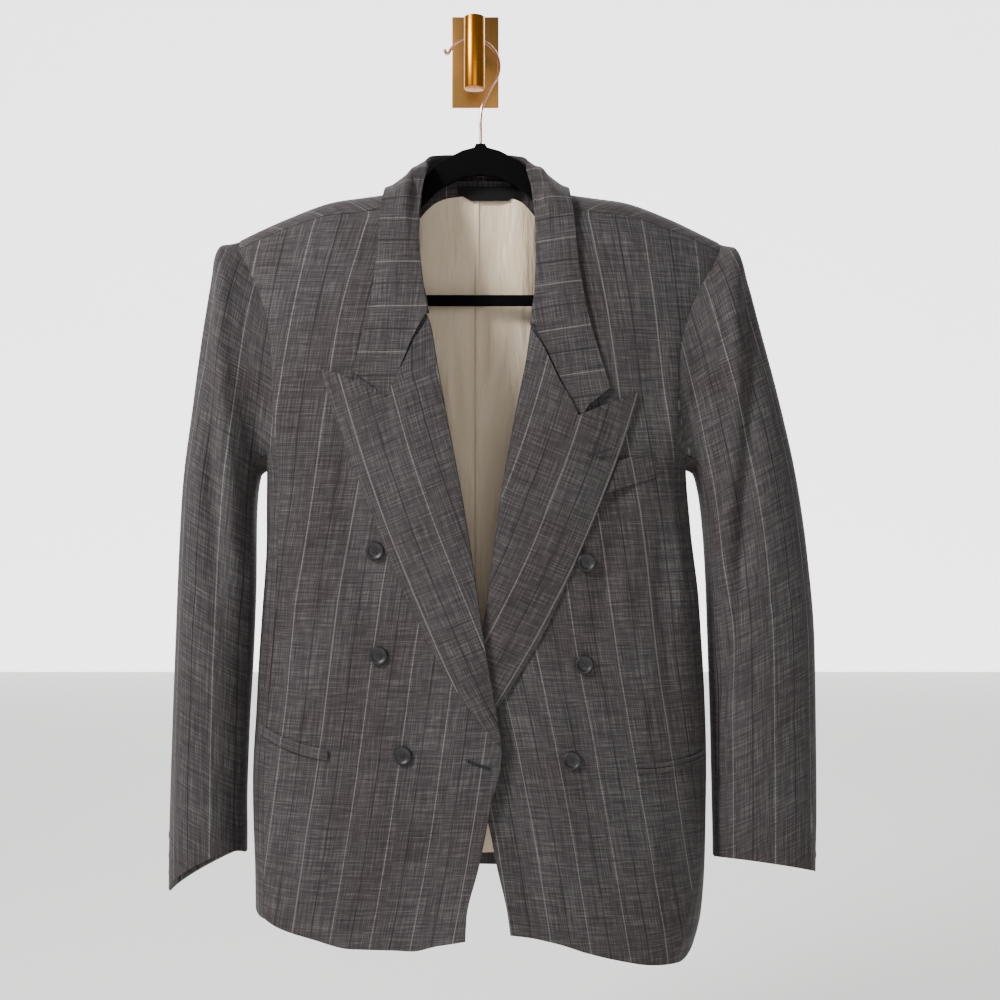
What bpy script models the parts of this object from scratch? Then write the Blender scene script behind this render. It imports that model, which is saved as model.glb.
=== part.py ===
"""A double breasted blazer, unbuttoned, on a hanger that hangs from a brass wall hook.

Metres, +Z up, +X to the viewer's right. The origin is the centre of the wall plate's back face,
the wall is the plane y = 0 and everything lies in front of it, at negative y. The tables are in
millimetres: "depth" is the distance from the wall, heights are measured from the origin.
Right and left are the wearer's: the wearer's right front is at -X and lies on top.
"""
import bpy
import bmesh
import math
import numpy as np
from mathutils import Vector

for thing in list(bpy.data.objects):
    bpy.data.objects.remove(thing, do_unlink=True)

MM = 0.001
RIGHT = -1
LEFT = 1

# Driving dimensions
CLOTH = 0.0020            # wall of one cloth piece: worsted with its canvas or lining
LAPEL = 0.0024            # lapels and collar: two layers of worsted on canvas
MIDDLE_X = 0.003          # the back's centre seam and the middle of the neck
SEAM = 0.0003             # gap between two pieces at a seam
LAYER = 0.0004            # gap between a piece and the cloth that it lies on
ARMHOLE_EASE = {RIGHT: 0.0023, LEFT: 0.0017}  # how far each sleeve's head stands off the armhole
SHOULDER_ROUND = 0.060    # drop from the shoulder's ridge to the flat of front and back
FRONT_POWER = 3.0         # how square the front half of the body's section is
BACK_POWER = 4.0          # how square the back half is
OVERLAP_LIFT = 0.0085     # how far the right front stands over the left one
BREAK_Z = -0.738          # height at which the lapels turn into the front edges
BACK_HEM_Z = -0.892       # hem at the centre of the back
UNDERARM_DIP = 0.027      # how far the armhole dips below the two side seams
UNDERARM_Z = -0.430       # tops of the two side seams

GORGE_GAP = 0.0017        # gap between collar and lapel, measured upwards, along the slant
NECK_ROLL = 0.012         # how far inside the neck the collar starts to rise over its seam
STAND_GAP = 0.0050        # how far the collar's stand starts over the back's neck seam
FALL_GAP = 0.0042         # extra room under the collar's fall where it crosses the shoulder
LAPEL_ROLL = 0.0045       # how high a lapel's roll stands over the front
CUFF_RISE = {RIGHT: 0.020, LEFT: 0.012}  # how far the front of each cuff is drawn up

PLATE_WIDTH = 0.052
PLATE_HEIGHT = 0.101
PLATE_THICK = 0.004
BARREL_RADIUS = 0.0112
BARREL_TOP = 0.031
BARREL_BOTTOM = -0.046
BARREL_DEPTH = 0.053
POST_RADIUS = 0.005
POST_Z = 0.007
HANGER_DEPTH = 0.036
HANGER_THICK = 0.006
WIRE_RADIUS = 0.00165
HANGER_X = 0.0065
HANGER_END = 0.205
HANGER_NECK_Z = -0.1005   # top of the flocked neck that the wire goes into
HANGER_NECK_WIDTH = 0.010
BAR_Z = -0.2715
BAR_HEIGHT = 0.012
HOOK_MIDDLE_X = -0.003
HOOK_RADIUS = 0.0298
JET_WIDTH = 0.0050
JET_THICK = 0.0010
WELT_THICK = 0.0014
LINING_TOP_Z = -0.1455
LINING_HEM_Z = -0.878
LINING_GAP = 0.0015
LINING_THICK = 0.0010
PLEAT_HEIGHT = 0.0015
LABEL_OUT = 0.0012
LABEL_DEPTH = 0.0224      # where its ends reach round the curved back of the neck
LABEL_THICK = 0.0008
BUTTON_THICK = 0.0034
CUFF_BUTTON_GAP = 0.0007
BUTTON_RADIUS = 0.0096
CUFF_BUTTON_RADIUS = 0.0075


def table(names, rows, scale=MM):
    """A table with named columns, its numbers turned to metres, its rows in rising order."""
    columns = np.array(sorted(rows), dtype=float) * scale
    return dict(zip(names.split(), columns.T))


def read(source, column, at):
    """A column's value at any place between two rows, on a curve with no overshoot."""
    keys = next(iter(source.values()))
    values = source[column]
    span = np.diff(keys)
    slope = np.diff(values) / span
    pace = np.concatenate(([slope[0]], np.zeros(len(slope) - 1), [slope[-1]]))
    same = slope[:-1] * slope[1:] > 0
    total = np.where(same, slope[:-1] + slope[1:], 1.0)
    pace[1:-1] = np.where(same, 2 * slope[:-1] * slope[1:] / total, 0.0)
    at = np.clip(at, keys[0], keys[-1])
    i = np.clip(np.searchsorted(keys, at) - 1, 0, len(span) - 1)
    t = (at - keys[i]) / span[i]
    return ((2 * t**3 - 3 * t**2 + 1) * values[i] + (t**3 - 2 * t**2 + t) * span[i] * pace[i]
            + (3 * t**2 - 2 * t**3) * values[i + 1] + (t**3 - t**2) * span[i] * pace[i + 1])


def ease(low, high, at):
    """0 below low, 1 above high, smooth between them."""
    t = np.clip((at - low) / (high - low), 0.0, 1.0)
    return t * t * (3 - 2 * t)


# The body's section at each height: how deep its front and back lie, and its half widths
BODY = table("z crown waist back right left", [
    (-90, 84, 40, 14, 285, 292),
    (-222, 92, 40, 14, 285, 292),
    (-260, 100, 45, 14, 268, 276),
    (-300, 108, 51, 14, 252, 259),
    (-350, 115, 56, 14, 243, 247),
    (-410, 118, 58, 14, 238, 242),
    (-457, 120, 58, 14, 221, 226),
    (-520, 121, 58, 14, 221, 230),
    (-600, 122, 58, 14, 225, 240),
    (-700, 127, 58, 14, 231, 246),
    (-780, 133, 59, 14, 235, 248),
    (-860, 145, 60, 15, 233, 246),
    (-920, 152, 60, 16, 231, 241),
    (-975, 155, 60, 17, 229, 226),
])

# The shoulder's ridge: height by distance from the centre, and the drop from it to the
# shoulder seam in front of it or, near the centre, to the neck seam behind it (below 0)
RIDGE = table("x z seam_drop", [
    (0, -105, -31),
    (30, -107, -29),
    (46, -112, -22),
    (56, -120, -12),
    (62, -127, -5),
    (66, -132, 1),
    (70, -137, 7),
    (77, -144, 16),
    (86, -151, 21),
    (95, -156.5, 23),
    (122, -161, 23),
    (155, -166, 21),
    (204, -183, 18),
    (250, -204, 15),
    (276, -217, 11),
])

# Where the front and back panels end at the armhole and, under it, at the side seams
OUTER = table("z front_right front_left back_right back_left", [
    (-221.5, 253, 264, 253, 264),
    (-240, 241, 254, 245, 256),
    (-260, 231, 242, 234, 244),
    (-300, 216, 224, 216, 224),
    (-350, 210, 213, 206, 210),
    (-400, 208, 212, 203, 208),
    (-430, 206, 210, 201, 206),
    (-480, 202, 208, 197, 203),
    (-540, 204, 214, 198, 207),
    (-620, 208, 223, 202, 214),
    (-700, 214, 229, 206, 219),
    (-780, 218, 231, 209, 221),
    (-860, 217, 229, 208, 219),
    (-975, 213, 208, 205, 200),
])

# Inner edge of each front: neck seam, roll line down to the break, then the front edge
INNER = table("z right left", [
    (-160, -73, 80),
    (-180, -75, 81),
    (-200, -74, 80),
    (-250, -66, 72),
    (-285, -53, 64),
    (-310, -43, 59),
    (-345, -37, 54),
    (-395, -28, 44),
    (-472, -13, 30),
    (-550, 0, 19),
    (-615, 9.5, 10.5),
    (-654, 15.7, 4),
    (-700, 23.9, -2),
    (-738, 29.4, -5),
    (-757, 28.6, -2),
    (-797, 18.2, 9),
    (-820, 14.5, 16.4),
    (-857, 6.5, 24),
    (-905, -5.3, 35),
    (-975, -8, 43),
])

# Hem height along the width
HEM_RIGHT = table("x z", [
    (-235, -912), (-200, -925), (-160, -932), (-122, -939), (-62, -939), (-34, -932), (0, -926),
])
HEM_LEFT = table("x z", [
    (38, -924), (59, -927), (86, -933), (116, -943), (152, -953), (177, -959), (207, -963),
    (235, -965),
])

# Lapels: outer edge below the peak, and the top edge from the roll line over the notch's
# base to the peak's tip
LAPEL_EDGE_RIGHT = table("z x", [
    (-354, -157), (-364, -154.5), (-439, -130), (-489, -109), (-540, -90), (-621, -52),
    (-670, -24.5), (-704, 0), (-738, 26),
])
LAPEL_EDGE_LEFT = table("z x", [
    (-378, 171), (-388, 168.5), (-444, 149.7), (-489, 132.3), (-547, 107.6), (-630, 69.6),
    (-665, 48.6), (-702, 24), (-738, -1.6),
])
LAPEL_TOP_RIGHT = [(-44, -300), (-60, -323), (-70, -346), (-88, -384), (-110, -373), (-140, -358),
                   (-157, -354)]
LAPEL_TOP_LEFT = [(59, -312), (70, -328), (88, -366), (108, -402), (124, -395), (140, -389),
                  (171, -378)]

# The collar from its front end to the centre of the back: the fold, the free edge and the
# seam of its stand; face is 1 on the front and -1 on the back of the shoulder
COLLAR_NAMES = ("step fold_x fold_z fold_depth edge_x edge_z edge_face edge_over "
                "seam_x seam_z seam_depth")
COLLAR_RIGHT = [
    (0, -45, -295, 112, -125, -358, 1, 4, -42, -296, 106),
    (1, -51, -270, 107, -117, -330, 1, 4, -50, -269, 98),
    (2, -55, -240, 99, -108, -293, 1, 5, -61, -238, 90),
    (3, -57, -208, 90, -102, -243, 1, 6, -68, -208, 82),
    (4, -56, -176, 78, -99, -202, 1, 7, -68, -180, 76),
    (5, -54, -146, 61, -97, -176, 1, 8, -69, -152, 66),
    (6, -50, -120, 42, -94, -159, 0, 8, -61, -130, 46),
    (7, -42, -111, 28, -78, -166, -1, 7, -47, -133, 27),
    (8, -27, -108, 20, -44, -162, -1, 7, -32, -131, 19),
    (9, 3, -107, 17, 3, -160, -1, 7, 3, -134, 17),
]
COLLAR_LEFT = [
    (0, 59.5, -308, 114, 141, -375, 1, 4, 55, -308, 106),
    (1, 63, -278, 108, 131, -341, 1, 4, 62, -276, 99),
    (2, 65, -245, 99, 119, -298, 1, 5, 67, -241, 90),
    (3, 65, -210, 90, 110, -243, 1, 6, 71, -209, 81),
    (4, 63, -178, 78, 106, -204, 1, 7, 74, -181, 75),
    (5, 60, -148, 61, 103, -178, 1, 8, 75.5, -153, 66),
    (6, 56, -122, 42, 100, -162, 0, 8, 67, -130, 46),
    (7, 48, -112, 28, 84, -167, -1, 7, 53, -133, 27),
    (8, 33, -108, 20, 50, -162, -1, 7, 38, -131, 19),
    (9, 3, -107, 17, 3, -160, -1, 7, 3, -134, 17),
]

# Sleeves: a ring at each step, through its outer and inner points, with its middle's depth
SLEEVE_NAMES = "step outer_x outer_z inner_x inner_z depth half_depth"
SLEEVE_RIGHT = [
    (0, -256, -219, -213, -454, 54, 44),
    (1, -271, -218, -226, -459, 57, 46),
    (2, -280, -255, -229, -464, 60, 46),
    (3, -289, -310, -230, -472, 61, 46),
    (4, -299, -390, -232, -490, 62, 47),
    (5, -309, -470, -233, -520, 63, 48),
    (6, -314, -550, -233, -570, 64, 48),
    (7, -318, -640, -235, -645, 65, 47),
    (8, -321, -735, -240, -735, 66, 46),
    (9, -323, -845, -243, -820, 67, 44),
    (10, -323, -905, -243, -864, 68, 43),
]
SLEEVE_LEFT = [
    (0, 266, -219, 218, -454, 54, 44),
    (1, 279, -219, 231, -459, 57, 46),
    (2, 292, -256, 235, -464, 60, 46),
    (3, 304, -305, 238, -472, 61, 46),
    (4, 324, -385, 242, -490, 62, 47),
    (5, 342, -468, 245, -520, 63, 48),
    (6, 353, -545, 248, -570, 64, 48),
    (7, 360, -635, 251, -645, 65, 48),
    (8, 361, -730, 254, -735, 66, 47),
    (9, 362, -830, 255, -820, 67, 45),
    (10, 362, -884, 255, -868, 68, 44),
]
SLEEVE_STEPS = 10
SEAM_TURN = 0.006         # gap of a sleeve seam on each side of it, in radians
FRONT_COLUMNS = 9
BACK_NECK_COLUMNS = np.array([0, 24, 44, 55, 62, 66, 71])  # from the middle, before the front's
BACK_ROWS = (0.04, 0.09, 0.15, 0.21, 0.28, 0.42, 0.61, 0.8, 1.0)  # shares of the height

# What is sewn on: pocket mouths, the welt's lower and upper edge, button places (x, z)
POCKET_RIGHT = [(-148, -749), (-172, -745), (-200, -737), (-224, -727)]
POCKET_LEFT = [(166, -763), (194, -763), (227, -759), (241, -755)]
WELT_LOW = [(140, -481), (190, -465)]
WELT_HIGH = [(151, -448), (187, -439)]
BUTTONS_RIGHT = [(-100.2, -541, 0.9), (-96.3, -648, 0.9), (-70.6, -748.5, 1.3)]  # x z gap
BUTTONS_LEFT = [(116, -553, 0.9), (113.4, -657, 0.9), (100.5, -754, 0.9)]
CUFF_BUTTON_TURN = -12.0  # degrees round the sleeve, just in front of its back seam

# The hanger's half outline from its neck: top edge, and the under edge of its arm
HANGER = [(0, -105, -135), (20, -108, -138), (42, -119, -149), (50, -125.5, -155),
          (55, -131, -160), (60, -137, -165), (66, -145.5, -172), (75, -154, -180),
          (85, -159, -186), (95, -164.5, -191), (110, -168.5, -195), (130, -171, -197),
          (155, -175, -199), (180, -184, -207)]

# Angles round a sleeve, from its outer line over the front: the two seams at both ends
BACK_SEAM_TOP = -75.0
BACK_SEAM_CUFF = -22.0
FRONT_SEAM_TOP = 150.0
FRONT_SEAM_CUFF = 165.0


def side_name(side):
    return "right" if side == RIGHT else "left"


def from_middle(x):
    return np.abs(x - MIDDLE_X)


def half_width(side, z):
    return read(BODY, side_name(side), z)


def dome(x, z):
    """How far the shoulder has filled out at a height: 0 at its ridge, 1 at its full depth."""
    drop = read(RIDGE, "z", from_middle(x)) - z
    t = 1.0 - np.clip(drop / SHOULDER_ROUND, 0.0, 1.0)
    return np.sqrt(1.0 - t * t), t


def front_depth(side, x, z):
    """Depth of the front's outer face, from the body's section and the shoulder's dome."""
    waist = read(BODY, "waist", z)
    crown = read(BODY, "crown", z)
    share = np.clip(np.abs(x) / half_width(side, z), 0.0, 1.0)
    full = (crown - waist) * (1.0 - share**FRONT_POWER)**(1.0 / FRONT_POWER)
    lift = 0.0
    if side == RIGHT:
        lift = OVERLAP_LIFT * ease(-0.085, -0.015, x) * (1 - ease(-0.62, -0.42, z))
    filled, _ = dome(x, z)
    return waist + (full + lift) * filled


def back_depth(side, x, z):
    """Depth of the back's outer face."""
    waist = read(BODY, "waist", z)
    share = np.clip(np.abs(x) / half_width(side, z), 0.0, 1.0)
    full = (waist - read(BODY, "back", z)) * (1.0 - share**BACK_POWER)**(1.0 / BACK_POWER)
    filled, _ = dome(x, z)
    return waist - full * filled


def on_front(side, x, z, over=0.0):
    """A point on the front, or lifted off it by over."""
    _, upward = dome(x, z)
    depth = front_depth(side, x, z) + over * np.sqrt(1.0 - upward * upward)
    return np.stack(np.broadcast_arrays(x, -depth, z + over * upward), axis=-1)


# Cloth as solids


def normals(grid):
    """Unit normals of a grid of points."""
    down = np.gradient(grid, axis=0)
    across = np.gradient(grid, axis=1)
    found = np.cross(down, across)
    return found / np.maximum(np.linalg.norm(found, axis=-1, keepdims=True), 1e-12)


def material(name, colour, roughness, metallic=0.0):
    """A Principled finish, made once."""
    made = bpy.data.materials.get(name)
    if made is None:
        made = bpy.data.materials.new(name)
        made.use_nodes = True
        shader = made.node_tree.nodes["Principled BSDF"]
        shader.inputs["Base Color"].default_value = (*colour, 1.0)
        shader.inputs["Roughness"].default_value = roughness
        shader.inputs["Metallic"].default_value = metallic
    return made


def worsted():
    return material("worsted", (0.135, 0.125, 0.122), 0.85)


def satin():
    return material("lining_satin", (0.44, 0.36, 0.26), 0.45)


def horn():
    return material("button_resin", (0.030, 0.030, 0.032), 0.30)


def velvet():
    return material("hanger_flock", (0.012, 0.012, 0.013), 0.95)


def brass():
    return material("brass", (0.70, 0.50, 0.22), 0.30, 1.0)


def rose_wire():
    return material("wire_plating", (0.78, 0.50, 0.38), 0.25, 1.0)


def finish(name, mesh, finish_of):
    """An object from a bmesh, with its faces pointing out."""
    bmesh.ops.recalc_face_normals(mesh, faces=mesh.faces)
    data = bpy.data.meshes.new(name)
    mesh.to_mesh(data)
    mesh.free()
    data.materials.append(finish_of())
    made = bpy.data.objects.new(name, data)
    bpy.context.collection.objects.link(made)
    return made


def sheet(name, grid, finish_of=worsted, thick=CLOTH, inset=0.0012):
    """A closed wall of cloth from the grid of its outer face.

    The wall lies on the side that the grid's normals point away from. Its inner face ends a
    little before its outer one, as a turned seam allowance does, so that neighbours at a
    rounded seam don't meet.
    """
    rows, columns = grid.shape[:2]
    away = normals(grid)
    inner = grid - away * thick
    for axis, length in ((0, rows), (1, columns)):
        for end, step in ((0, 1), (length - 1, -1)):
            here = np.take(inner, end, axis=axis)
            step_in = np.take(inner, end + step, axis=axis) - here
            size = np.maximum(np.linalg.norm(step_in, axis=-1, keepdims=True), 1e-9)
            moved = here + step_in * np.minimum(inset / size, 0.45)
            if axis == 0:
                inner[end] = moved
            else:
                inner[:, end] = moved
    mesh = bmesh.new()
    top = [[mesh.verts.new(p) for p in row] for row in grid.tolist()]
    low = [[mesh.verts.new(p) for p in row] for row in inner.tolist()]
    for i in range(rows - 1):
        for j in range(columns - 1):
            mesh.faces.new((top[i][j], top[i + 1][j], top[i + 1][j + 1], top[i][j + 1]))
            mesh.faces.new((low[i][j], low[i][j + 1], low[i + 1][j + 1], low[i + 1][j]))
    rim = [(i, 0) for i in range(rows)]
    rim += [(rows - 1, j) for j in range(1, columns)]
    rim += [(i, columns - 1) for i in range(rows - 2, -1, -1)]
    rim += [(0, j) for j in range(columns - 2, 0, -1)]
    for k, (i, j) in enumerate(rim):
        m, n = rim[(k + 1) % len(rim)]
        mesh.faces.new((top[i][j], low[i][j], low[m][n], top[m][n]))
    return finish(name, mesh, finish_of)


def spread(count, power=1.0):
    """Even steps from 0 to 1, closer together at 0 when the power is above 1."""
    return np.linspace(0.0, 1.0, count) ** power


def inner_x(side, z):
    return read(INNER, side_name(side), z)


def outer_x(side, z, face="front"):
    return side * read(OUTER, f"{face}_{side_name(side)}", z)


def shoulder_seam_z(x):
    return read(RIDGE, "z", from_middle(x)) - read(RIDGE, "seam_drop", from_middle(x))


def hem_z(side, x):
    return read(HEM_RIGHT if side == RIGHT else HEM_LEFT, "z", x)


def settle(height_at, across, side, start):
    """Height on a boundary for each share of the width between a front's two edges."""
    z = np.full_like(across, start)
    for _ in range(12):
        x = inner_x(side, z) * (1 - across) + outer_x(side, z) * across
        z = height_at(x)
    return z


def front_columns(side):
    """Shares of a front's width at its columns, and their places along the shoulder seam."""
    rim = SEAM / 0.2
    across = np.linspace(rim, 1 - rim, FRONT_COLUMNS)
    top = settle(shoulder_seam_z, across, side, -0.18) - SEAM
    return across, top, inner_x(side, top) * (1 - across) + outer_x(side, top) * across


def front_panel(side):
    """A front, from the shoulder seam to the hem, between the roll line and the armhole."""
    across, top, _ = front_columns(side)
    down = spread(21, 1.25)
    low = settle(lambda x: hem_z(side, x), across, side, -0.93)
    z = top[None, :] + down[:, None] * (low - top)[None, :]
    u = across[None, :]
    x = inner_x(side, z) * (1 - u) + outer_x(side, z) * u
    grid = on_front(side, x, z)
    if side == RIGHT:
        grid = grid[:, ::-1]
    sheet(f"front_{side_name(side)}", grid)


def seam_turn(side, face, z):
    """Angle round the body's section at which a side seam runs: 0 front, 90 side, 180 back."""
    power = FRONT_POWER if face == "front" else BACK_POWER
    share = np.abs(outer_x(side, z, face)) / half_width(side, z)
    turn = np.arcsin(np.clip(share, 0.0, 1.0) ** (power / 2))
    return turn if face == "front" else math.pi - turn


def section_point(side, turn, z):
    """A point on the body's section at an angle round it."""
    ahead = turn <= math.pi / 2
    power = np.where(ahead, FRONT_POWER, BACK_POWER)
    waist = read(BODY, "waist", z)
    reach = np.where(ahead, read(BODY, "crown", z) - waist, read(BODY, "back", z) - waist)
    x = side * half_width(side, z) * np.abs(np.sin(turn)) ** (2 / power)
    depth = waist + reach * np.abs(np.cos(turn)) ** (2 / power)
    return np.stack((x, -depth, z), axis=-1)


def side_hem_z(side, share):
    """Hem of a side panel: it runs up from the front's hem to the back's."""
    start = hem_z(side, outer_x(side, -0.94))
    return start + (BACK_HEM_Z - 0.004 - start) * ease(0.0, 1.0, share)


def side_panel(side):
    """The panel under the arm, between the front's and the back's side seams."""
    share = np.linspace(0.0, 1.0, 9)[None, :]
    down = spread(13, 1.1)[:, None]
    top = UNDERARM_Z - UNDERARM_DIP * np.sin(math.pi * share) - SEAM
    z = top + down * (side_hem_z(side, share) - top)
    first = seam_turn(side, "front", z)
    last = seam_turn(side, "back", z)
    rim = 0.020
    turn = first + (last - first) * (rim + (1 - 2 * rim) * share)
    grid = section_point(side, turn, z)
    if side == RIGHT:
        grid = grid[:, ::-1]
    sheet(f"side_panel_{side_name(side)}", grid)


def top_turn(x):
    """Angle over the shoulder, from its ridge to the back, of the back panel's top edge."""
    drop = read(RIDGE, "seam_drop", from_middle(x))
    return -np.sign(drop) * np.arccos(1 - np.abs(drop) / SHOULDER_ROUND)


def back_panel(side):
    """Half the back, from the shoulder seam over the ridge and down to the hem."""
    tip = abs(outer_x(side, -0.2215, "back") - MIDDLE_X)
    shoulder = from_middle(front_columns(side)[2])[:-1]
    across = np.concatenate((BACK_NECK_COLUMNS * MM, shoulder, [tip]))[None, :] / tip
    over = 6
    grid = []
    centre = MIDDLE_X
    x_top = centre + (outer_x(side, -0.2215, "back") - centre) * across[0]
    x_top[0] += side * SEAM / 2
    start = top_turn(x_top) + 0.006
    for k in range(over):
        turn = start + (math.radians(90.0) - start) * k / (over - 1)
        ridge = read(RIDGE, "z", from_middle(x_top))
        z = ridge - SHOULDER_ROUND * (1 - np.cos(turn))
        x = centre + (outer_x(side, np.minimum(z, -0.2215), "back") - centre) * across[0]
        x[0] += side * SEAM / 2
        waist = read(BODY, "waist", z)
        share = np.clip(np.abs(x) / half_width(side, z), 0.0, 1.0)
        front = (read(BODY, "crown", z) - waist) * (1 - share**3) ** (1 / 3)
        rear = (waist - read(BODY, "back", z)) * (1 - share**4) ** 0.25
        depth = waist - np.where(turn < 0, front, rear) * np.sin(turn)
        grid.append(np.stack((x, -depth, z), axis=-1))
    z_flat = grid[-1][:, 2]
    hem = BACK_HEM_Z - 0.004 * across[0]
    for down in BACK_ROWS:
        z = z_flat + (hem - z_flat) * down
        x = centre + (outer_x(side, z, "back") - side * SEAM - centre) * across[0]
        x[0] += side * SEAM / 2
        grid.append(np.stack((x, -back_depth(side, x, z), z), axis=-1))
    grid = np.array(grid)
    if side == LEFT:
        grid = grid[:, ::-1]
    sheet(f"back_{side_name(side)}", grid)


def lapel_edge_x(side, z):
    return read(LAPEL_EDGE_RIGHT if side == RIGHT else LAPEL_EDGE_LEFT, "x", z)


def lapel_top(side):
    """The lapel's top edge, from the roll line over the notch's base to the peak."""
    return np.array(LAPEL_TOP_RIGHT if side == RIGHT else LAPEL_TOP_LEFT) * MM


def lapel(side):
    """A lapel, turned over at the roll line and lying on its front, with its peak."""
    top = lapel_top(side)
    reach = lapel_edge_x(side, top[:, 1]) - inner_x(side, top[:, 1])
    share = (top[:, 0] - inner_x(side, top[:, 1])) / reach
    share[0] = 0.0
    share[-1] = 1.0
    across = np.sort(np.concatenate((share, [0.08, 0.93])))
    start = np.interp(across, share, top[:, 1]) - SEAM
    down = spread(12)[:, None]
    end = BREAK_Z + 0.004
    z = start[None, :] + down * (end - start)[None, :]
    x = inner_x(side, z) * (1 - across) + lapel_edge_x(side, z) * across
    x = x + side * 0.001 * (1 - across)
    roll = LAPEL_ROLL * (1 - down) ** 0.5 * np.sin(math.pi * across) ** 0.8
    grid = on_front(side, x, z, LAYER + LAPEL + roll)
    if side == RIGHT:
        grid = grid[:, ::-1]
    sheet(f"lapel_{side_name(side)}", grid, thick=LAPEL, inset=0.0008)


def beyond_neck(side, x, depth, z):
    """How far a place lies inside the neck opening, from the edge of the body's cloth."""
    drop = read(RIDGE, "z", from_middle(x)) - z
    seam_drop = read(RIDGE, "seam_drop", from_middle(x))
    if depth > read(BODY, "waist", z):
        inside = from_middle(inner_x(side, z)) - from_middle(x)
        return max(0.0, min(inside, drop - seam_drop))
    return max(0.0, -seam_drop - drop)


def clear_of_body(side, point, gap):
    """Push a point out of the body's section until the gap lies under it."""
    x, depth, z = point[0], -point[1], point[2]
    held = 1 - min(1.0, beyond_neck(side, x, depth, z) / NECK_ROLL)
    waist = read(BODY, "waist", z)
    middle = read(RIDGE, "z", from_middle(x)) - SHOULDER_ROUND
    low = min(z, middle)
    ahead = depth > waist
    flat = front_depth(side, x, low) - waist if ahead else waist - back_depth(side, x, low)
    away = depth - waist if ahead else waist - depth
    if z <= middle:
        away = max(away, flat + gap)
    else:
        rise = z - middle
        radius = math.hypot(away / (flat + gap), rise / (SHOULDER_ROUND + gap))
        if radius < 1.0:
            away = away / radius
            z = middle + rise / radius
    depth = waist + away if ahead else waist - away
    return point * (1 - held) + np.array([x, -depth, z]) * held


def neck_edge(x):
    """The back panel's neck seam at a distance from the middle."""
    turn = top_turn(x)
    z = read(RIDGE, "z", from_middle(x)) - SHOULDER_ROUND * (1 - np.cos(turn))
    waist = read(BODY, "waist", z)
    reach = read(BODY, "crown", z) - waist if turn < 0 else waist - read(BODY, "back", z)
    return np.array([x, -(waist - reach * math.sin(turn)), z])


def collar_row(side, source, step):
    """One section of the collar: stand from its seam to the fold, then the fall to its edge."""
    def place(name):
        depth = read(source, f"{name}_depth", step)
        return np.array([read(source, f"{name}_x", step), -depth, read(source, f"{name}_z", step)])

    fold = place("fold")
    seam = place("seam")
    sewn = ease(4.2, 5.0, step / MM)
    above = neck_edge(seam[0]) + np.array([0, 0, STAND_GAP])
    seam = seam * (1 - sewn) + above * sewn
    face = read(source, "edge_face", step) / MM
    x = read(source, "edge_x", step)
    z = min(read(source, "edge_z", step), read(RIDGE, "z", from_middle(x)))
    turned, upward = dome(x, z)
    over = read(source, "edge_over", step)
    ahead = front_depth(side, x, z) + over * turned
    behind = back_depth(side, x, z) - over * turned
    depth = ahead * (1 + face) / 2 + behind * (1 - face) / 2
    edge = np.array([x, -depth, z + over * upward])
    line = [seam * (1 - t) + fold * t for t in (0.0, 0.33, 0.66, 1.0)]
    top = lapel_top(side)
    gorge = [top[1], top[2], top[3], None, None, None]
    notch = max(0.0, 1 - step / (1.7 * MM)) ** 2
    for k in range(6):
        t = (k + 1) / 6
        at = fold * (1 - t) + edge * t
        if notch > 0:
            if k < 3:
                cut = gorge[k]
            else:
                part = (k - 2) / 3
                cut = top[3] * (1 - part) + np.array([edge[0], edge[2]]) * part
            at[0] += (cut[0] - at[0]) * notch
            at[2] += (cut[1] + GORGE_GAP - at[2]) * notch
        at[1] -= face * 0.004 * math.sin(math.pi * t)
        gap = LAYER + LAPEL + FALL_GAP * (0.3 + 0.7 * ease(4.0, 5.0, step / MM))
        line.append(clear_of_body(side, at, gap))
    return line


def collar():
    """The collar, folded over its stand, from one gorge seam round the neck to the other."""
    halves = []
    for side, rows in ((RIGHT, COLLAR_RIGHT), (LEFT, COLLAR_LEFT)):
        source = table(COLLAR_NAMES, rows)
        halves.append([collar_row(side, source, step) for step in np.linspace(0, 9, 19) * MM])
    grid = np.array(halves[0] + halves[1][::-1][1:])
    sheet("collar", grid, thick=LAPEL, inset=0.0008)


def armhole(side, turn):
    """A point on the armhole, by the angle from the shoulder over the front to the underarm."""
    turn = turn % (2 * math.pi)
    face = "front" if turn < math.pi else "back"
    tip = outer_x(side, -0.2215)
    top = read(RIDGE, "z", from_middle(tip)) - 0.0002
    low = UNDERARM_Z - UNDERARM_DIP
    z = top + (low - top) * (1 - math.cos(turn)) / 2
    if z >= UNDERARM_Z:
        x = outer_x(side, z, face)
        depth = front_depth(side, x, z) if face == "front" else back_depth(side, x, z)
        return np.array([x, -depth, z])
    share = math.asin(min(1.0, (UNDERARM_Z - z) / UNDERARM_DIP)) / math.pi
    share = share if face == "front" else 1 - share
    first = seam_turn(side, "front", z)
    last = seam_turn(side, "back", z)
    return section_point(side, first + (last - first) * share, np.array(z))


def sleeve_point(side, source, step, turn):
    """A point on a sleeve: rings through its outer and inner lines, on to the armhole."""
    outer = np.array([read(source, "outer_x", step), read(source, "outer_z", step)])
    inner = np.array([read(source, "inner_x", step), read(source, "inner_z", step)])
    middle = (outer + inner) / 2
    arm = (outer - inner) / 2
    c, s = math.cos(turn), math.sin(turn)
    wide = abs(c) ** 0.85 * math.copysign(1, c)
    deep = abs(s) ** 0.85 * math.copysign(1, s)
    place = middle + arm * wide
    depth = read(source, "depth", step) + read(source, "half_depth", step) * deep
    rise = CUFF_RISE[side] * ease(8.0, 10.0, step / MM) * max(0.0, s)
    at = np.array([place[0], -depth, place[1] + rise])
    share = max(0.0, 1 - step / (1.6 * MM)) ** 2
    if share > 0:
        at = at * (1 - share) + armhole(side, turn) * share
        at[0] += side * share * ARMHOLE_EASE[side] * (1.5 - 0.4 * c)
    return at


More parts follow.
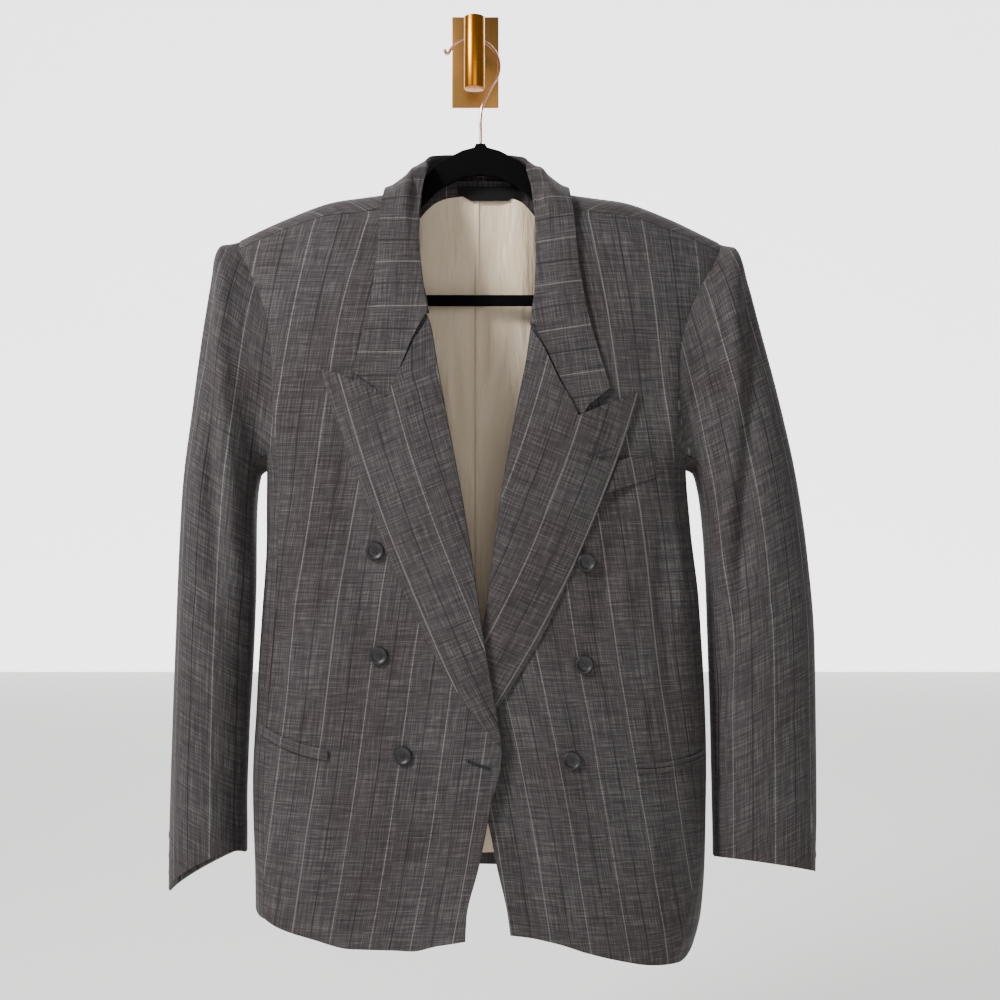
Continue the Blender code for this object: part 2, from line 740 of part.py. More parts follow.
def sleeve(side):
    """A two-piece sleeve: the top sleeve over its outer side and the undersleeve behind."""
    source = table(SLEEVE_NAMES, SLEEVE_RIGHT if side == RIGHT else SLEEVE_LEFT)
    steps = np.array([0, 0.4, 0.9, 1.4, 2, 2.8, 3.8, 5, 6.2, 7.4, 8.7, SLEEVE_STEPS])
    for name, columns in (("top_sleeve", 15), ("under_sleeve", 10)):
        grid = []
        for step in steps * MM:
            along = step / (SLEEVE_STEPS * MM)
            back = math.radians(BACK_SEAM_TOP + (BACK_SEAM_CUFF - BACK_SEAM_TOP) * along)
            front = math.radians(FRONT_SEAM_TOP + (FRONT_SEAM_CUFF - FRONT_SEAM_TOP) * along)
            first, last = back + SEAM_TURN, front - SEAM_TURN
            if name == "under_sleeve":
                first, last = front + SEAM_TURN, back + 2 * math.pi - SEAM_TURN
            turns = np.linspace(first, last, columns)
            grid.append([sleeve_point(side, source, step, turn) for turn in turns])
        grid = np.array(grid)
        if side == LEFT:
            grid = grid[:, ::-1]
        sheet(f"{name}_{side_name(side)}", grid, inset=0.0024)


def sleeve_frame(side, step, turn):
    """A point on a sleeve with its outward direction, for what is sewn on it."""
    source = table(SLEEVE_NAMES, SLEEVE_RIGHT if side == RIGHT else SLEEVE_LEFT)
    at = sleeve_point(side, source, step, turn)
    along = sleeve_point(side, source, step + 0.05 * MM, turn) - at
    round_it = sleeve_point(side, source, step, turn + 0.02) - at
    out = np.cross(along, round_it)
    out = out / np.linalg.norm(out)
    if out[0] * side < 0:
        out = -out
    return at, out


def front_frame(side, x, z):
    """A point on a front with its outward direction."""
    at = on_front(side, np.array(x), np.array(z))
    across = on_front(side, np.array(x + 0.004), np.array(z)) - at
    down = on_front(side, np.array(x), np.array(z - 0.004)) - at
    out = np.cross(down, across)
    return at, out / np.linalg.norm(out)


def strip(name, side, line, low, high, over, thick, finish_of=worsted):
    """A strip that lies on a front along a line of points, from low to high across it."""
    line = np.array(line) * MM
    t = np.linspace(0, 1, 9)
    place = np.linspace(0, 1, len(line))
    x = np.interp(t, place, line[:, 0])
    z = np.interp(t, place, line[:, 1])
    rows = []
    for height in np.linspace(high, low, 2):
        rows.append(on_front(side, x, z + height, over + thick))
    sheet(name, np.array(rows), finish_of, thick, inset=0.0)


def pocket(side, line):
    """A double-jetted pocket: two narrow welts with the slit between them."""
    name = f"pocket_jet_{side_name(side)}"
    slit = 0.0003
    strip(f"{name}_upper", side, line, slit, JET_WIDTH, 2 * LAYER, JET_THICK)
    strip(f"{name}_lower", side, line, -JET_WIDTH, -slit, 2 * LAYER, JET_THICK)


def breast_welt():
    """The breast pocket's welt, which starts under the left lapel's edge."""
    low = np.array(WELT_LOW) * MM
    high = np.array(WELT_HIGH) * MM
    rows = []
    for share in (1.0, 0.5, 0.0):
        ends = low * (1 - share) + high * share
        start = lapel_edge_x(LEFT, ends[0][1]) + 0.0012
        x = np.linspace(start, ends[1][0], 7)
        z = np.interp(x, ends[:, 0], ends[:, 1])
        rows.append(on_front(LEFT, x, z, LAYER + WELT_THICK))
    sheet("breast_welt", np.array(rows), thick=WELT_THICK, inset=0.0)


def button(name, at, out, radius, gap):
    """A round resin button with a raised rim and a sunken middle, sewn close to the cloth."""
    profile = [(0.0, 0.0), (0.86, 0.0), (1.0, 0.28), (1.0, 0.62), (0.90, 1.0), (0.72, 1.0),
               (0.60, 0.70), (0.0, 0.62)]
    turns = 16
    mesh = bmesh.new()
    rings = []
    for share, height in profile:
        if share == 0.0:
            rings.append([mesh.verts.new((0, 0, height * BUTTON_THICK))])
            continue
        ring = []
        for k in range(turns):
            angle = 2 * math.pi * k / turns
            spot = (radius * share * math.cos(angle), radius * share * math.sin(angle))
            ring.append(mesh.verts.new((*spot, height * BUTTON_THICK)))
        rings.append(ring)
    for first, last in zip(rings, rings[1:]):
        for k in range(turns):
            n = (k + 1) % turns
            if len(first) == 1:
                mesh.faces.new((first[0], last[k], last[n]))
            elif len(last) == 1:
                mesh.faces.new((first[k], last[0], first[n]))
            else:
                mesh.faces.new((first[k], last[k], last[n], first[n]))
    made = finish(name, mesh, horn)
    made.rotation_euler = Vector(out).to_track_quat("Z", "Y").to_euler()
    made.location = Vector(at + out * gap)


def buttons():
    """Two columns of three on the fronts and three on each sleeve's vent."""
    for side, places in ((RIGHT, BUTTONS_RIGHT), (LEFT, BUTTONS_LEFT)):
        for k, (x, z, gap) in enumerate(places):
            at, out = front_frame(side, x * MM, z * MM)
            button(f"button_{side_name(side)}_{k + 1}", at, out, BUTTON_RADIUS, gap * MM)
        for k in range(3):
            step = (9.9 - 0.33 * (k + 0.6)) * MM
            at, out = sleeve_frame(side, step, math.radians(CUFF_BUTTON_TURN))
            name = f"cuff_button_{side_name(side)}_{k + 1}"
            button(name, at, out, CUFF_BUTTON_RADIUS, CUFF_BUTTON_GAP)


def back_lining(side):
    """Half the back's lining, which hangs a little in front of the back, with its pleat."""
    x = np.array([0.0, 0.006, 0.035, 0.07, 0.105, 0.14, 0.17])
    down = spread(9)[:, None]
    top = np.minimum(LINING_TOP_Z, read(RIDGE, "z", x) - 0.048)
    z = top[None, :] + down * (LINING_HEM_Z - top)[None, :]
    place = MIDDLE_X + side * (2 * SEAM + x[None, :] + 0 * z)
    depth = back_depth(side, place, z) + CLOTH + LINING_GAP + LINING_THICK
    depth = depth + PLEAT_HEIGHT * (x[None, :] < 0.004)
    grid = np.stack((place, -depth, z), axis=-1)
    if side == RIGHT:
        grid = grid[:, ::-1]
    sheet(f"back_lining_{side_name(side)}", grid, satin, LINING_THICK, inset=0.0)


def neck_label():
    """The bare black label under the collar, in the middle of the lining."""
    rows = []
    for z, left, right in ((-143.5, -20, 49), (-152, -18, 47), (-159.5, -4, 37)):
        x = np.linspace(left, right, 5) * MM
        z = np.full(5, z * MM)
        depth = back_depth(LEFT, np.abs(x), z) + CLOTH + LINING_GAP + LINING_THICK + LABEL_OUT
        depth = np.maximum(depth, LABEL_DEPTH)
        rows.append(np.stack((x, -depth, z), axis=-1))
    sheet("neck_label", np.array(rows), velvet, LABEL_THICK, inset=0.0)


def block(name, size, middle, finish_of, bevel):
    """A box with a small bevel all round."""
    mesh = bmesh.new()
    bmesh.ops.create_cube(mesh, size=1.0)
    bmesh.ops.scale(mesh, vec=size, verts=mesh.verts)
    bmesh.ops.translate(mesh, vec=middle, verts=mesh.verts)
    bmesh.ops.bevel(mesh, geom=mesh.edges[:], offset=bevel, segments=1, affect="EDGES")
    return finish(name, mesh, finish_of)


def rod(name, start, end, radius, finish_of, sides=24):
    """A round bar between two points."""
    start, end = Vector(start), Vector(end)
    mesh = bmesh.new()
    bmesh.ops.create_cone(mesh, cap_ends=True, segments=sides, radius1=radius, radius2=radius,
                          depth=(end - start).length)
    made = finish(name, mesh, finish_of)
    made.location = (start + end) / 2
    made.rotation_euler = (end - start).to_track_quat("Z", "Y").to_euler()
    return made


def wall_hook():
    """The brass wall hook: a plate, and an upright barrel on a short post."""
    middle = (0.0, -PLATE_THICK / 2, 0.0)
    block("wall_plate", (PLATE_WIDTH, PLATE_THICK, PLATE_HEIGHT), middle, brass, 0.0006)
    barrel_back = BARREL_DEPTH - BARREL_RADIUS
    rod("hook_post", (0, -PLATE_THICK - SEAM, POST_Z), (0, -barrel_back + SEAM, POST_Z),
        POST_RADIUS, brass, 16)
    rod("hook_barrel", (0, -BARREL_DEPTH, BARREL_BOTTOM), (0, -BARREL_DEPTH, BARREL_TOP),
        BARREL_RADIUS, brass)


def arc(middle, radius, first, last, count):
    """Points on an arc in the plane of the hanger, its angles in degrees."""
    turns = np.radians(np.linspace(first, last, count))
    return [(middle[0] + radius * math.cos(a), middle[1] + radius * math.sin(a)) for a in turns]


def hanger_hook():
    """The hanger's wire hook, which lies over the post; its open end has a ball tip."""
    crown_z = POST_Z + POST_RADIUS + WIRE_RADIUS + SEAM
    middle = (HOOK_MIDDLE_X, crown_z - HOOK_RADIUS)
    line = [(-0.0325, 0.0010), (-0.0305, -0.0022)] + arc(middle, HOOK_RADIUS, 152, -38, 20)
    neck = [(0.0118, -0.051), (0.0082, -0.060), (HANGER_X, -0.072), (HANGER_X, -0.088)]
    line = line + neck + [(HANGER_X, HANGER_NECK_Z + SEAM)]
    curve = bpy.data.curves.new("hanger_hook", "CURVE")
    curve.dimensions = "3D"
    curve.bevel_depth = WIRE_RADIUS
    curve.bevel_resolution = 2
    curve.use_fill_caps = True
    curve.materials.append(rose_wire())
    route = curve.splines.new("POLY")
    route.points.add(len(line) - 1)
    for spot, (x, z) in zip(route.points, line):
        spot.co = (x, -HANGER_DEPTH, z, 1.0)
    made = bpy.data.objects.new("hanger_hook", curve)
    bpy.context.collection.objects.link(made)


def hanger():
    """The flocked hanger: two arms from the neck down to the shoulder ends, and the bar.

    One outline, extruded: the outside runs over the neck and the arms and under the bar,
    and the hole lies between the arms and the bar.
    """
    neck = HANGER_NECK_WIDTH / 2
    top = [(neck, HANGER_NECK_Z), (neck + 0.002, -0.1045)]
    top += [(x * MM, high * MM) for x, high, _ in HANGER if x > 10]
    bar_low = BAR_Z - BAR_HEIGHT / 2
    bar_high = BAR_Z + BAR_HEIGHT / 2
    end = HANGER_END
    top += [(end - 0.006, -0.191), (end, -0.200), (end + 0.002, -0.240), (end - 0.005, bar_high)]
    top += [(end - 0.020, bar_low)]
    hole = [(0.0, HANGER[0][2] * MM)] + [(x * MM, low * MM) for x, _, low in HANGER if x > 10]
    hole += [(end - 0.014, -0.216), (end - 0.011, -0.245), (end - 0.022, bar_high)]
    half = HANGER_THICK / 2
    mesh = bmesh.new()
    faces = {}
    for y in (-HANGER_DEPTH - half, -HANGER_DEPTH + half):
        rings = []
        for line in (top, hole):
            spots = line + [(-x, z) for x, z in line[::-1] if x > 0]
            rings.append([mesh.verts.new((x + HANGER_X, y, z)) for x, z in spots])
        faces[y] = rings
    low, high = faces.values()
    for first, last in zip(low, high):
        count = len(first)
        for k in range(count):
            n = (k + 1) % count
            mesh.faces.new((first[k], first[n], last[n], last[k]))
    for rings in (low, high):
        edges = []
        for ring in rings:
            count = len(ring)
            for k in range(count):
                edges.append(mesh.edges.get((ring[k], ring[(k + 1) % count])))
        bmesh.ops.triangle_fill(mesh, use_beauty=True, edges=edges)
    finish("hanger_body", mesh, velvet)


def build():
    for side in (RIGHT, LEFT):
        front_panel(side)
        side_panel(side)
        back_panel(side)
        lapel(side)
        sleeve(side)
        back_lining(side)
    collar()
    pocket(RIGHT, POCKET_RIGHT)
    pocket(LEFT, POCKET_LEFT)
    breast_welt()
    neck_label()
    buttons()
    wall_hook()
    hanger_hook()
    hanger()


build()
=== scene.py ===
"""A double breasted blazer on a slim hanger, hung from a brass wall hook."""
import math

import bmesh
import bpy
import numpy as np
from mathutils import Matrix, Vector


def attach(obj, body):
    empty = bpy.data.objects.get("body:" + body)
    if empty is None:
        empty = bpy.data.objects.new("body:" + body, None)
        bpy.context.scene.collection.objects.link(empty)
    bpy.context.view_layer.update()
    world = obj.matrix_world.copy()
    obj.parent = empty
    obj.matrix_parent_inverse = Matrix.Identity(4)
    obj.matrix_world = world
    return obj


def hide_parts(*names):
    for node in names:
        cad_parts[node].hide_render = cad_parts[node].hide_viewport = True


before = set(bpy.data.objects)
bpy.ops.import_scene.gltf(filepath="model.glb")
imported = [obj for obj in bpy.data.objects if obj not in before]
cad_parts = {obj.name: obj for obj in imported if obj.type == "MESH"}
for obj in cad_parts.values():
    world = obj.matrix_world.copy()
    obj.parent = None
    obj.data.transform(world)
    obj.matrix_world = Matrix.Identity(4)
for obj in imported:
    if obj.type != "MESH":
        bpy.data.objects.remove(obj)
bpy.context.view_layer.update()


# Wall hook: a plate and an upright barrel on a short post, of brass, cut from flat and round
# bar, brushed along and lacquered. The post is screwed through the plate into the barrel.

MM = 0.001
PLATE_WIDTH = 0.052
PLATE_HEIGHT = 0.101
PLATE_THICK = 0.004
BARREL_RADIUS = 0.0112
BARREL_TOP = 0.031
BARREL_BOTTOM = -0.046
BARREL_DEPTH = 0.053
POST_RADIUS = 0.005
POST_Z = 0.007
SEAM = 0.0003             # gap between two pieces at a seam


def linear(colour):
    """A linear colour from its sRGB hex value."""
    parts = [int(colour[k:k + 2], 16) / 255 for k in (1, 3, 5)]
    return [*(p / 12.92 if p <= 0.04045 else ((p + 0.055) / 1.055) ** 2.4 for p in parts), 1.0]


def node(tree, kind, inputs=None, links=None, **settings):
    """Add a node with its settings, the values of its inputs and the links into them."""
    made = tree.nodes.new(kind)
    for key, value in settings.items():
        setattr(made, key, value)
    for key, value in (inputs or {}).items():
        made.inputs[key].default_value = value
    for key, source in (links or {}).items():
        tree.links.new(source, made.inputs[key])
    return made


def finish(name, **values):
    """A material with these values on its Principled shader, its node tree and shader."""
    made = bpy.data.materials.new(name)
    made.use_nodes = True
    shader = made.node_tree.nodes["Principled BSDF"]
    for key, value in values.items():
        shader.inputs[key.replace("_", " ").title()].default_value = value
    return made, made.node_tree, shader


def scaled(tree, source, scale):
    """Coordinates from a source socket, stretched by a scale in repeats per metre."""
    return node(tree, "ShaderNodeMapping", {"Scale": scale}, {"Vector": source}).outputs[0]


def brushed_brass(name, colour, dark, rough):
    # Brass brushed along its length: warm, with fine lines that smear its highlights.
    made, tree, shader = finish(name, Metallic=1.0, Roughness=rough)
    where = node(tree, "ShaderNodeTexCoord").outputs["Object"]
    grain = node(tree, "ShaderNodeTexNoise", {"Scale": 1.0, "Detail": 3.0, "Roughness": 0.6},
                 {"Vector": scaled(tree, where, (1600, 1600, 30))})
    patch = node(tree, "ShaderNodeTexNoise", {"Scale": 1.0, "Detail": 2.0},
                 {"Vector": scaled(tree, where, (40, 40, 25))})
    tone = node(tree, "ShaderNodeMix", {"A": linear(colour), "B": linear(dark)},
                {"Factor": patch.outputs[0]}, data_type="RGBA")
    tree.links.new(tone.outputs["Result"], shader.inputs["Base Color"])
    rough_by_grain = node(tree, "ShaderNodeMapRange",
                          {"To Min": rough - 0.06, "To Max": rough + 0.12},
                          {"Value": grain.outputs[0]})
    tree.links.new(rough_by_grain.outputs[0], shader.inputs["Roughness"])
    lift = node(tree, "ShaderNodeBump", {"Strength": 0.12, "Distance": 0.0001},
                {"Height": grain.outputs[0]})
    tree.links.new(lift.outputs[0], shader.inputs["Normal"])
    return made


def place(name, mesh, material, slot, *nodes, flat_angle=35):
    """Link a finished mesh at the origin as the piece that stands for these CAD nodes."""
    mesh.materials.clear()
    mesh.materials.append(material)
    mesh.polygons.foreach_set("use_smooth", [True] * len(mesh.polygons))
    mesh.set_sharp_from_angle(angle=math.radians(flat_angle))
    made = bpy.data.objects.new(name, mesh)
    bpy.context.collection.objects.link(made)
    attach(made, "root")
    if nodes:
        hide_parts(*nodes)
    return made


def bevelled(mesh, width, steps=3):
    """Round the sharp edges of a mesh under construction."""
    edges = [e for e in mesh.edges if e.is_manifold and e.calc_face_angle(0) > 0.6]
    bmesh.ops.bevel(mesh, geom=edges, offset=width, segments=steps, profile=0.5,
                    affect="EDGES", clamp_overlap=True)


def built(building, name):
    """The finished mesh of a mesh under construction."""
    made = bpy.data.meshes.new(name)
    building.to_mesh(made)
    building.free()
    return made


def turned_rod(start, end, radius, edge):
    """A round bar between two points, its two rims rounded."""
    start, end = Vector(start), Vector(end)
    mesh = bmesh.new()
    bmesh.ops.create_cone(mesh, cap_ends=True, segments=64, radius1=radius, radius2=radius,
                          depth=(end - start).length)
    rims = [e for e in mesh.edges if e.calc_face_angle(0) > 1.0]
    bmesh.ops.bevel(mesh, geom=rims, offset=edge, segments=3, profile=0.5, affect="EDGES")
    turn = (end - start).to_track_quat("Z", "Y").to_matrix().to_4x4()
    bmesh.ops.transform(mesh, matrix=turn, verts=mesh.verts)
    bmesh.ops.translate(mesh, vec=(start + end) / 2, verts=mesh.verts)
    return built(mesh, "rod")


plate_brass = brushed_brass("lacquered_brass_plate", "#a07640", "#8b6434", 0.36)
bar_brass = brushed_brass("lacquered_brass_bar", "#c07a1c", "#a06214", 0.24)
plate = bmesh.new()
bmesh.ops.create_cube(plate, size=1.0)
bmesh.ops.scale(plate, vec=(PLATE_WIDTH, PLATE_THICK, PLATE_HEIGHT), verts=plate.verts)
bmesh.ops.translate(plate, vec=(0, -PLATE_THICK / 2, 0), verts=plate.verts)
bevelled(plate, 0.0006)
place("hook_plate", built(plate, "plate"), plate_brass, "brass", "wall_plate")
barrel_back = BARREL_DEPTH - BARREL_RADIUS
place("hook_post_bar", turned_rod((0, -PLATE_THICK - SEAM, POST_Z), (0, -barrel_back + SEAM, POST_Z),
                                  POST_RADIUS, 0.0002), bar_brass, "brass", "hook_post")
place("hook_barrel_bar",
      turned_rod((0, -BARREL_DEPTH, BARREL_BOTTOM), (0, -BARREL_DEPTH, BARREL_TOP),
                 BARREL_RADIUS, 0.0005), bar_brass, "brass", "hook_barrel")


# Hanger: a moulded plastic body flocked in black, with two arms and a bar, and a hook of
# steel wire plated rose gold. The wire is bent round a former and turns freely in the neck.

HANGER_DEPTH = 0.036
WIRE_RADIUS = 0.00165
HANGER_X = 0.0065
HANGER_NECK_Z = -0.1005   # top of the flocked neck that the wire goes into
HOOK_MIDDLE_X = -0.003
HOOK_RADIUS = 0.0298


def arc(middle, radius, first, last, count):
    """Points on an arc in the plane of the hanger, its angles in degrees."""
    turns = np.radians(np.linspace(first, last, count))
    return [(middle[0] + radius * math.cos(a), middle[1] + radius * math.sin(a)) for a in turns]


def tube(spots, radius, resolution, closed):
    """A round tube along points, its ends capped if it isn't closed."""
    curve = bpy.data.curves.new("tube", "CURVE")
    curve.dimensions = "3D"
    curve.bevel_depth = radius
    curve.bevel_resolution = resolution
    curve.use_fill_caps = not closed
    route = curve.splines.new("POLY")
    route.points.add(len(spots) - 1)
    route.use_cyclic_u = closed
    for point, spot in zip(route.points, spots):
        point.co = (*spot, 1.0)
    maker = bpy.data.objects.new("tube", curve)
    bpy.context.collection.objects.link(maker)
    bpy.context.view_layer.update()
    seen = maker.evaluated_get(bpy.context.evaluated_depsgraph_get())
    made = bpy.data.meshes.new_from_object(seen)
    bpy.data.objects.remove(maker)
    return made


def smooth_line(points, count):
    """A smooth curve through points, as that many points an even share apart."""
    points = np.array(points, dtype=float)
    along = np.concatenate([[0], np.cumsum(np.linalg.norm(np.diff(points, axis=0), axis=1))])
    at = np.linspace(0, along[-1], count)
    return np.stack([cubic(along, points[:, k], at) for k in range(points.shape[1])], axis=1)


def cubic(keys, values, at):
    """A smooth curve through values at keys, along the first axis."""
    values = np.asarray(values, dtype=float)
    keys = np.asarray(keys, dtype=float)
    wide = (len(keys),) + (1,) * (values.ndim - 1)
    pace = np.gradient(values, keys, axis=0)
    at = np.clip(at, keys[0], keys[-1])
    i = np.clip(np.searchsorted(keys, at) - 1, 0, len(keys) - 2)
    span = (keys[i + 1] - keys[i]).reshape((-1,) + wide[1:])
    t = ((at - keys[i]) / (keys[i + 1] - keys[i])).reshape((-1,) + wide[1:])
    return ((2 * t**3 - 3 * t**2 + 1) * values[i] + (t**3 - 2 * t**2 + t) * span * pace[i]
            + (3 * t**2 - 2 * t**3) * values[i + 1] + (t**3 - t**2) * span * pace[i + 1])


wire_plating, tree, shader = finish("rose_gold_plated_wire", Metallic=1.0, Roughness=0.2,
                                    Base_color=linear("#dba98c"))
crown_z = POST_Z + POST_RADIUS + WIRE_RADIUS + SEAM
middle = (HOOK_MIDDLE_X, crown_z - HOOK_RADIUS)
tip = [(-0.0325, 0.0010), (-0.0305, -0.0022)]
neck = [(0.0118, -0.051), (0.0082, -0.060), (HANGER_X, -0.072), (HANGER_X, -0.088)]
route = tip + arc(middle, HOOK_RADIUS, 152, -38, 20) + neck + [(HANGER_X, HANGER_NECK_Z + SEAM)]
route = smooth_line(route, 120)
bent = bmesh.new()
bent.from_mesh(tube([(x, -HANGER_DEPTH, z) for x, z in route], WIRE_RADIUS, 5, False))
bmesh.ops.remove_doubles(bent, verts=bent.verts, dist=1e-6)
ball = bmesh.ops.create_uvsphere(bent, u_segments=24, v_segments=14, radius=WIRE_RADIUS * 1.25)
bmesh.ops.translate(bent, vec=(tip[0][0], -HANGER_DEPTH, tip[0][1]), verts=ball["verts"])
place("hanger_wire", built(bent, "hanger_wire"), wire_plating, "rose_wire", "hanger_hook")


# Flock: short nylon fibres on glue, near black, with a soft pale edge where fibres stand.
flock, tree, shader = finish("black_nylon_flock", Roughness=0.95, Base_color=linear("#050506"))
shader.inputs["Specular IOR Level"].default_value = 0.1
shader.inputs["Sheen Weight"].default_value = 0.04
shader.inputs["Sheen Roughness"].default_value = 0.4
shader.inputs["Sheen Tint"].default_value = linear("#5a5a60")
fibre = node(tree, "ShaderNodeTexNoise", {"Scale": 900.0, "Detail": 2.0},
             {"Vector": node(tree, "ShaderNodeTexCoord").outputs["Object"]})
fuzz = node(tree, "ShaderNodeBump", {"Strength": 0.4, "Distance": 0.0003},
            {"Height": fibre.outputs[0]})
tree.links.new(fuzz.outputs[0], shader.inputs["Normal"])
hanger_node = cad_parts["hanger_body"]
body = bmesh.new()
body.from_mesh(hanger_node.data)
bmesh.ops.remove_doubles(body, verts=body.verts, dist=1e-6)
bmesh.ops.dissolve_limit(body, angle_limit=math.radians(1), verts=body.verts, edges=body.edges)
rims = [e for e in body.edges if e.is_manifold and e.calc_face_angle(0) > 1.2]
bmesh.ops.bevel(body, geom=rims, offset=0.0017, segments=4, profile=0.5, affect="EDGES",
                clamp_overlap=True)
bmesh.ops.triangulate(body, faces=[f for f in body.faces if len(f.verts) > 4])
place("hanger_flock", built(body, "hanger_flock"), flock, "velvet", "hanger_body", flat_angle=50)


# Back: two panels of worsted joined at the centre seam, which run over the shoulders' ridge
# to the shoulder seams. Cut from one repeat of the stripe, and hung from the hanger's arms.

RIGHT = -1
LEFT = 1
CLOTH = 0.0020            # wall of one cloth piece: worsted with its canvas or lining
LAPEL = 0.0024            # lapels and collar: two layers of worsted on canvas
MIDDLE_X = 0.003          # the back's centre seam and the middle of the neck
LAYER = 0.0004            # gap between a piece and the cloth that it lies on
SHOULDER_ROUND = 0.060    # drop from the shoulder's ridge to the flat of front and back
FRONT_POWER = 3.0         # how square the front half of the body's section is
BACK_POWER = 4.0          # how square the back half is
OVERLAP_LIFT = 0.0085     # how far the right front stands over the left one
BREAK_Z = -0.738          # height at which the lapels turn into the front edges
BACK_HEM_Z = -0.892       # hem at the centre of the back
UNDERARM_DIP = 0.027      # how far the armhole dips below the two side seams
UNDERARM_Z = -0.430       # tops of the two side seams
STRIPE = 0.046            # from one light stripe to the next, with a dark one between
STRIPE_WIDE = 0.0011      # real ones are 0.7 mm, drawn wider so that they show
SLUB = 0.00065            # thread spacing, drawn coarse: the real one is about 0.45 mm


def table(names, rows, scale=MM):
    """A table with named columns, its numbers turned to metres, its rows in rising order."""
    columns = np.array(sorted(rows), dtype=float) * scale
    return dict(zip(names.split(), columns.T))


def read(source, column, at):
    """A column's value at any place between two rows, on a curve with no overshoot."""
    keys = next(iter(source.values()))
    values = source[column]
    span = np.diff(keys)
    slope = np.diff(values) / span
    pace = np.concatenate(([slope[0]], np.zeros(len(slope) - 1), [slope[-1]]))
    same = slope[:-1] * slope[1:] > 0
    total = np.where(same, slope[:-1] + slope[1:], 1.0)
    pace[1:-1] = np.where(same, 2 * slope[:-1] * slope[1:] / total, 0.0)
    at = np.clip(at, keys[0], keys[-1])
    i = np.clip(np.searchsorted(keys, at) - 1, 0, len(span) - 1)
    t = (at - keys[i]) / span[i]
    return ((2 * t**3 - 3 * t**2 + 1) * values[i] + (t**3 - 2 * t**2 + t) * span[i] * pace[i]
            + (3 * t**2 - 2 * t**3) * values[i + 1] + (t**3 - t**2) * span[i] * pace[i + 1])


def ease(low, high, at):
    """0 below low, 1 above high, smooth between them."""
    t = np.clip((at - low) / (high - low), 0.0, 1.0)
    return t * t * (3 - 2 * t)


# The body's section at each height: how deep its front and back lie, and its half widths
BODY = table("z crown waist back right left", [
    (-90, 84, 40, 14, 285, 292), (-222, 92, 40, 14, 285, 292), (-260, 100, 45, 14, 268, 276),
    (-300, 108, 51, 14, 252, 259), (-350, 115, 56, 14, 243, 247), (-410, 118, 58, 14, 238, 242),
    (-457, 120, 58, 14, 221, 226), (-520, 121, 58, 14, 221, 230), (-600, 122, 58, 14, 225, 240),
    (-700, 127, 58, 14, 231, 246), (-780, 133, 59, 14, 235, 248), (-860, 145, 60, 15, 233, 246),
    (-920, 152, 60, 16, 231, 241), (-975, 155, 60, 17, 229, 226),
])

# The shoulder's ridge: height by distance from the centre, and the drop from it to the
# shoulder seam in front of it or, near the centre, to the neck seam behind it (below 0)
RIDGE = table("x z seam_drop", [
    (0, -105, -31), (30, -107, -29), (46, -112, -22), (56, -120, -12), (62, -127, -5),
    (66, -132, 1), (70, -137, 7), (77, -144, 16), (86, -151, 21), (95, -156.5, 23),
    (122, -161, 23), (155, -166, 21), (204, -183, 18), (250, -204, 15), (276, -217, 11),
])

# Where the front and back panels end at the armhole and, under it, at the side seams
OUTER = table("z front_right front_left back_right back_left", [
    (-221.5, 253, 264, 253, 264), (-240, 241, 254, 245, 256), (-260, 231, 242, 234, 244),
    (-300, 216, 224, 216, 224), (-350, 210, 213, 206, 210), (-400, 208, 212, 203, 208),
    (-430, 206, 210, 201, 206), (-480, 202, 208, 197, 203), (-540, 204, 214, 198, 207),
    (-620, 208, 223, 202, 214), (-700, 214, 229, 206, 219), (-780, 218, 231, 209, 221),
    (-860, 217, 229, 208, 219), (-975, 213, 208, 205, 200),
])

# Inner edge of each front: neck seam, roll line down to the break, then the front edge
INNER = table("z right left", [
    (-160, -73, 80), (-180, -75, 81), (-200, -74, 80), (-250, -66, 72), (-285, -53, 64),
    (-310, -43, 59), (-345, -37, 54), (-395, -28, 44), (-472, -13, 30), (-550, 0, 19),
    (-615, 9.5, 10.5), (-654, 15.7, 4), (-700, 23.9, -2), (-738, 29.4, -5), (-757, 28.6, -2),
    (-797, 18.2, 9), (-820, 14.5, 16.4), (-857, 6.5, 24), (-905, -5.3, 35), (-975, -8, 43),
])

# Hem height along the width
HEM_RIGHT = table("x z", [
    (-235, -912), (-200, -925), (-160, -932), (-122, -939), (-62, -939), (-34, -932), (0, -926),
])
HEM_LEFT = table("x z", [
    (38, -924), (59, -927), (86, -933), (116, -943), (152, -953), (177, -959), (207, -963),
    (235, -965),
])


def side_name(side):
    return "right" if side == RIGHT else "left"


def from_middle(x):
    return np.abs(x - MIDDLE_X)


def half_width(side, z):
    return read(BODY, side_name(side), z)


def dome(x, z):
    """How far the shoulder has filled out at a height: 0 at its ridge, 1 at its full depth."""
    drop = read(RIDGE, "z", from_middle(x)) - z
    t = 1.0 - np.clip(drop / SHOULDER_ROUND, 0.0, 1.0)
    return np.sqrt(1.0 - t * t), t


def front_depth(side, x, z):
    """Depth of the front's outer face, from the body's section and the shoulder's dome."""
    waist = read(BODY, "waist", z)
    crown = read(BODY, "crown", z)
    share = np.clip(np.abs(x) / half_width(side, z), 0.0, 1.0)
    full = (crown - waist) * (1.0 - share**FRONT_POWER)**(1.0 / FRONT_POWER)
    lift = 0.0
    if side == RIGHT:
        lift = OVERLAP_LIFT * ease(-0.085, -0.015, x) * (1 - ease(-0.62, -0.42, z))
    filled, _ = dome(x, z)
    return waist + (full + lift) * filled


def back_depth(side, x, z):
    """Depth of the back's outer face."""
    waist = read(BODY, "waist", z)
    share = np.clip(np.abs(x) / half_width(side, z), 0.0, 1.0)
    full = (waist - read(BODY, "back", z)) * (1.0 - share**BACK_POWER)**(1.0 / BACK_POWER)
    filled, _ = dome(x, z)
    return waist - full * filled


